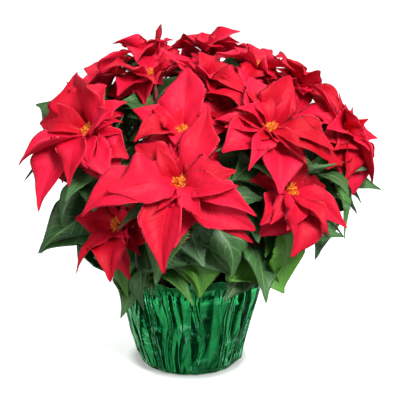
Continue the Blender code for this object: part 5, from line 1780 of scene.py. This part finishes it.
@dataclass
class Dresser:
    """Turns the grown plant into fine pieces.

    shown_blooms are drawn more finely, and slimmer gives the share of its width at which a bract
    is drawn. beads is how many small urns fill a cluster, and spreads how far beyond its radius.
    """
    shown_blooms: tuple[str, ...] = ("front", "left", "centre", "right", "far_right",
                                     "lower_right", "lower_left", "upper_left", "top")
    slimmer: tuple = ((("front", 0), 0.74),)
    beads: int = 30
    spreads: tuple[tuple[str, float], ...] = (("front", 2.1), ("left", 1.6), ("right", 1.6))

    def bracts(self, bloom: Bloom) -> Surface:
        """All bracts of a bloom and the end of its branch."""
        large, small = PLAIN_BRACT, PLAIN_BRACT
        if bloom.name in self.shown_blooms:
            large, small = SHOWN_BRACT, SHOWN_SMALL_BRACT
        parts = [FineBlade(replace(blade, half_width=blade.half_width * dict(self.slimmer).get(
                               (bloom.name, index), 1.0)),
                           large if index < len(bloom.bracts) else small,
                           f"{bloom.name} {index}").surface()
                 for index, blade in enumerate(bloom.bracts + bloom.small_bracts)]
        points = np.array([bloom.centre - bloom.axis * HUB_HEIGHT * share
                           for share in (1, 0.8, 0.5, 0.2, 0.06, 0.0)])
        radii = HUB_RADIUS * np.array((0.74, 0.8, 0.88, 0.94, 0.9, 0.7))
        return Surface.joined((*parts, along_tube(points, radii, 14, (0.4, 1.0, 0.0))))

    def cyathia(self, bloom: Bloom) -> Surface:
        """The cushion, the urns of the cluster and the glands and stamens on them."""
        rng = random.Random("beads " + bloom.name)
        centre, axis = bloom.centre, bloom.axis
        foot = centre + axis * GAP
        heights = np.array((0.0, 0.9, 1.9, 2.5)) * MM
        parts = [along_tube(foot + axis * heights[:, None],
                            np.array((2.6, 4.0, 4.9, 4.2)) * MM, 12, (0.2, 1.0, 1.0))]
        for urn in bloom.cyathia():
            parts += self.urn(urn, rng)
        pair = square_pair(axis)
        spread = dict(self.spreads).get(bloom.name, 1.3)
        beads = int(self.beads * (spread - 0.3 if bloom.name in self.shown_blooms else 0.5))
        for index in range(beads):
            share = math.sqrt((index + 0.5) / beads)
            outward = outward_at(index * GOLDEN_ANGLE, pair)
            base = (foot + axis * (3.4 - 1.3 * share) * MM
                    + outward * spread * share * CLUSTER_RADIUS)
            ahead = unit(axis + 1.1 * share * outward)
            small = Cyathium(base, ahead, rng.uniform(1.0, 1.45) * MM, rng.uniform(3.4, 6.2) * MM)
            parts += self.urn(small, rng, ripe=rng.uniform(0.5, 1.1))
        return Surface.joined(parts)

    @staticmethod
    def urn(urn: Cyathium, rng: random.Random, ripe: float = 0.5) -> list[Surface]:
        """One urn: a cup that widens and closes again, and stamens out of its mouth."""
        share = np.array((0.05, 0.22, 0.5, 0.72, 0.86))
        radii = urn.radius * np.array((0.45, 0.8, 1.0, 0.86, 0.5))
        points = urn.base + urn.axis * (share * urn.length)[:, None]
        ripe = ripe * rng.uniform(0.6, 1.3)
        parts = [along_tube(points, radii, 8, (rng.random(), 1.0, ripe))]
        pair = square_pair(urn.axis, UP)
        for index in range(3):
            outward = outward_at(2 * math.pi * (index + 0.4 * rng.random()) / 3, pair)
            start = urn.base + urn.axis * 0.78 * urn.length + outward * 0.3 * urn.radius
            end = start + (urn.axis * 0.34 * urn.length + outward * 0.4 * urn.radius)
            line = start + (end - start) * np.array((0.0, 0.45, 0.8, 1.0))[:, None]
            head = urn.radius * np.array((0.13, 0.12, 0.34, 0.2)) * rng.uniform(0.8, 1.3)
            parts.append(along_tube(line, head, 5, (rng.random(), 1.0, rng.uniform(0.4, 1.0))))
        return parts

    def leaves(self, plant: Plant) -> Surface:
        """All leaves of a plant with their stalks."""
        return Surface.joined(
            FineBlade(blade, LARGE_LEAF if index < len(plant.leaves) or blade.half_width > 13 * MM
                      else SMALL_LEAF, f"{plant.name} leaf {index}", self.ripeness(blade),
                      half_thickness=0.22 * MM, quilt=0.35 * MM, ruffle=0.05,
                      more_fold=math.radians(3)).surface()
            for index, blade in enumerate(plant.leaves + plant.small_leaves))

    @staticmethod
    def ripeness(blade: Blade) -> float:
        """How lime-green a leaf is: that of the nearest lime tip, less the further off it is."""
        return max(ripe * max(0.0, 1 - float(np.linalg.norm(blade.tip - np.array(tip) * MM))
                              / (25 * MM)) for tip, ripe in LIME_LEAVES)

    def stems(self, plant: Plant) -> Surface:
        """The woody stem and the branches, with a swelling at each old leaf scar."""
        line, radii = plant.trunk_line()
        steps = np.linspace(0, 1, 25)
        knots = np.linspace(0, 1, len(radii))
        points = np.stack([np.interp(steps, knots, line[:, axis]) for axis in range(3)], axis=-1)
        bark = np.interp(steps, knots, radii) * (1 + 0.05 * np.sin(19 * steps) ** 2)
        parts = [along_tube(points, bark, 18, (0.5, 1.0, 0.0))]
        for bloom in plant.blooms:
            points, radii = plant.branch_line(bloom, 28)
            swell = 1 + 0.12 * np.exp(-((np.linspace(0, 7, 29) % 1 - 0.5) / 0.16) ** 2)
            parts.append(along_tube(points, radii * swell, 10, (0.5, 1.0, 0.0)))
        return Surface.joined(parts)


LAMP_AIM = (0.0, 0.0, 0.22)
SENSOR_WIDTH = 36


@dataclass
class Studio:
    """White floor, dim sky and three soft boxes, and the camera of the usual view."""
    target: tuple = (0.0116, 0.0, 0.197)
    distance: float = 1.6
    lens: float = 124.1
    floor_reach: float = 14.0
    horizon: float = 0.08
    zenith: float = 0.28
    cards: float = 5.0
    card_light: float = 1.5
    # Lamps: place, width and height in metres, power in watts
    key: tuple = ((0.9, -1.5, 1.9), 0.8, 0.8, 84.0)
    side: tuple = ((-1.7, -1.2, 0.95), 0.5, 1.5, 12.0)
    back: tuple = ((0.2, 1.0, 1.9), 0.9, 0.9, 14.0)

    def build(self) -> None:
        """Makes all of it."""
        scene = bpy.context.scene
        scene.view_settings.view_transform = "Standard"
        self.floor()
        self.sky()
        for name in ("key", "side", "back"):
            self.soft_box(name, *getattr(self, name))
        camera = bpy.data.objects.new("camera", bpy.data.cameras.new("camera"))
        camera.data.lens, camera.data.sensor_width = self.lens, SENSOR_WIDTH
        camera.location = np.array(self.target) + self.distance * TOWARDS
        camera.rotation_euler = Vector(-TOWARDS).to_track_quat("-Z", "Y").to_euler()
        scene.collection.objects.link(camera)
        scene.camera = camera

    def floor(self) -> None:
        """A wide flat floor. It throws no light back on the plant."""
        reach = self.floor_reach
        mesh = bpy.data.meshes.new("floor")
        mesh.from_pydata([(-reach, -reach, 0), (reach, -reach, 0), (reach, reach, 0),
                          (-reach, reach, 0)], [], [(0, 1, 2, 3)])
        floor = bpy.data.objects.new("floor", mesh)
        mesh.materials.append(FloorFinish().material())
        floor.visible_diffuse = False
        floor.visible_glossy = False
        bpy.context.scene.collection.objects.link(floor)

    def sky(self) -> None:
        """Light from all round: brighter overhead, and white cards low down for the foil.

        Above the horizon the light grows with the height of the direction. Below and up to a little
        above it, cards stand round the plant, dimmer further down, and the light between them is
        dim: a smooth step of two sines of the azimuth, so that no two cards are alike.
        """
        nodes = Nodes("sky", world=True)
        place = nodes.add("ShaderNodeTexCoord").outputs["Generated"]
        x, y, z = nodes.add("ShaderNodeSeparateXYZ", {0: place}).outputs
        high = nodes.ramp(z, 0.0, 0.9, self.horizon, self.zenith)
        turn = nodes.math("MULTIPLY_ADD", nodes.math("ARCTAN2", y, x), self.cards, 1.1)
        second = nodes.math("SINE", nodes.math("MULTIPLY_ADD", turn, 1.6, z))
        wave = nodes.math("MULTIPLY_ADD", second, 0.7, nodes.math("SINE", turn))
        fade = nodes.ramp(z, -1.0, 0.0, 0.5, self.card_light)
        card = nodes.ramp(wave, -0.5, 1.2, 0.015, fade)
        below = nodes.ramp(z, 0.0, 0.4, 1.0, 0.0)
        level = nodes.add("ShaderNodeMix", {0: below, 2: high, 3: card}).outputs[0]
        nodes.set(Strength=level, Color=(1.0, 1.0, 1.0, 1.0))
        bpy.context.scene.world = nodes.material

    @staticmethod
    def soft_box(name: str, place: tuple, width: float, height: float, power: float) -> None:
        """A rectangular light at a place, turned to the middle of the plant."""
        light = bpy.data.lights.new(name, "AREA")
        light.shape, light.size, light.size_y, light.energy = "RECTANGLE", width, height, power
        lamp = bpy.data.objects.new(name, light)
        lamp.location = place
        away = Vector(place) - Vector(LAMP_AIM)
        lamp.rotation_euler = away.to_track_quat("Z", "Y").to_euler()
        bpy.context.scene.collection.objects.link(lamp)


BRACT = BladeFinish("bract_velvet", deep=(0.46, 0.0006, 0.010), bright=(0.78, 0.009, 0.048),
                    vein=(0.40, 0.0006, 0.012), edge=(0.95, 0.09, 0.13), under=(0.66, 0.012, 0.05),
                    ripe=(0.25, 0.30, 0.03), vein_show=0.4, roughness=0.55, specular=0.16,
                    sheen=0.04, sheen_tint=(1.0, 0.3, 0.4), subsurface=0.08)
LEAF = BladeFinish("leaf_skin", deep=(0.017, 0.066, 0.017), bright=(0.048, 0.145, 0.038),
                   vein=(0.17, 0.34, 0.12), edge=(0.22, 0.48, 0.08), under=(0.09, 0.19, 0.07),
                   ripe=(0.10, 0.34, 0.015), vein_show=0.85, roughness=0.42, specular=0.35,
                   sheen=0.05, sheen_tint=(0.8, 1.0, 0.8), subsurface=0.05,
                   stalk=(0.36, 0.07, 0.045))


def main() -> None:
    """Grows the plant, dresses every node and sets up the studio."""
    logging.basicConfig(level=logging.INFO)
    Studio().build()
    holder = Holder()
    growth = Growth(PLANTS, BLOOMS)
    growth.grow(holder.solids())
    growth.thicken()
    log.info("%d small bracts and %d small leaves more",
             sum(len(bloom.small_bracts) for bloom in BLOOMS),
             sum(len(plant.small_leaves) for plant in PLANTS))
    log.info("%d bracts and %d leaves have their place",
             sum(len(bloom.bracts) for bloom in BLOOMS),
             sum(len(plant.leaves) for plant in PLANTS))
    holder.foil().piece("foil_film", FoilFinish().material(), "foil", ["foil_wrap"])
    holder.pot().piece("pot_shell", PotFinish().material(), "pot", ["grow_pot"])
    holder.soil().piece("peat_bed", SoilFinish().material(), "soil", ["soil"])
    dresser = Dresser()
    leaf, stem = LEAF.material(), StemFinish().material()
    for plant in PLANTS:
        nodes = [f"plant_{plant.name}_green"]
        dresser.leaves(plant).piece(f"leaves_{plant.name}", leaf, "leaf", nodes)
        dresser.stems(plant).piece(f"stems_{plant.name}", stem, "leaf", nodes)
    bract, cyathium = BRACT.material(), CyathiumFinish().material()
    for bloom in BLOOMS:
        dresser.bracts(bloom).piece(f"bracts_{bloom.name}", bract, "bract",
                                    [f"bloom_{bloom.name}_bracts"])
        dresser.cyathia(bloom).piece(f"cyathia_{bloom.name}", cyathium, "cyathium",
                                     [f"bloom_{bloom.name}_cyathia"])


if __name__ == "__main__":
    main()
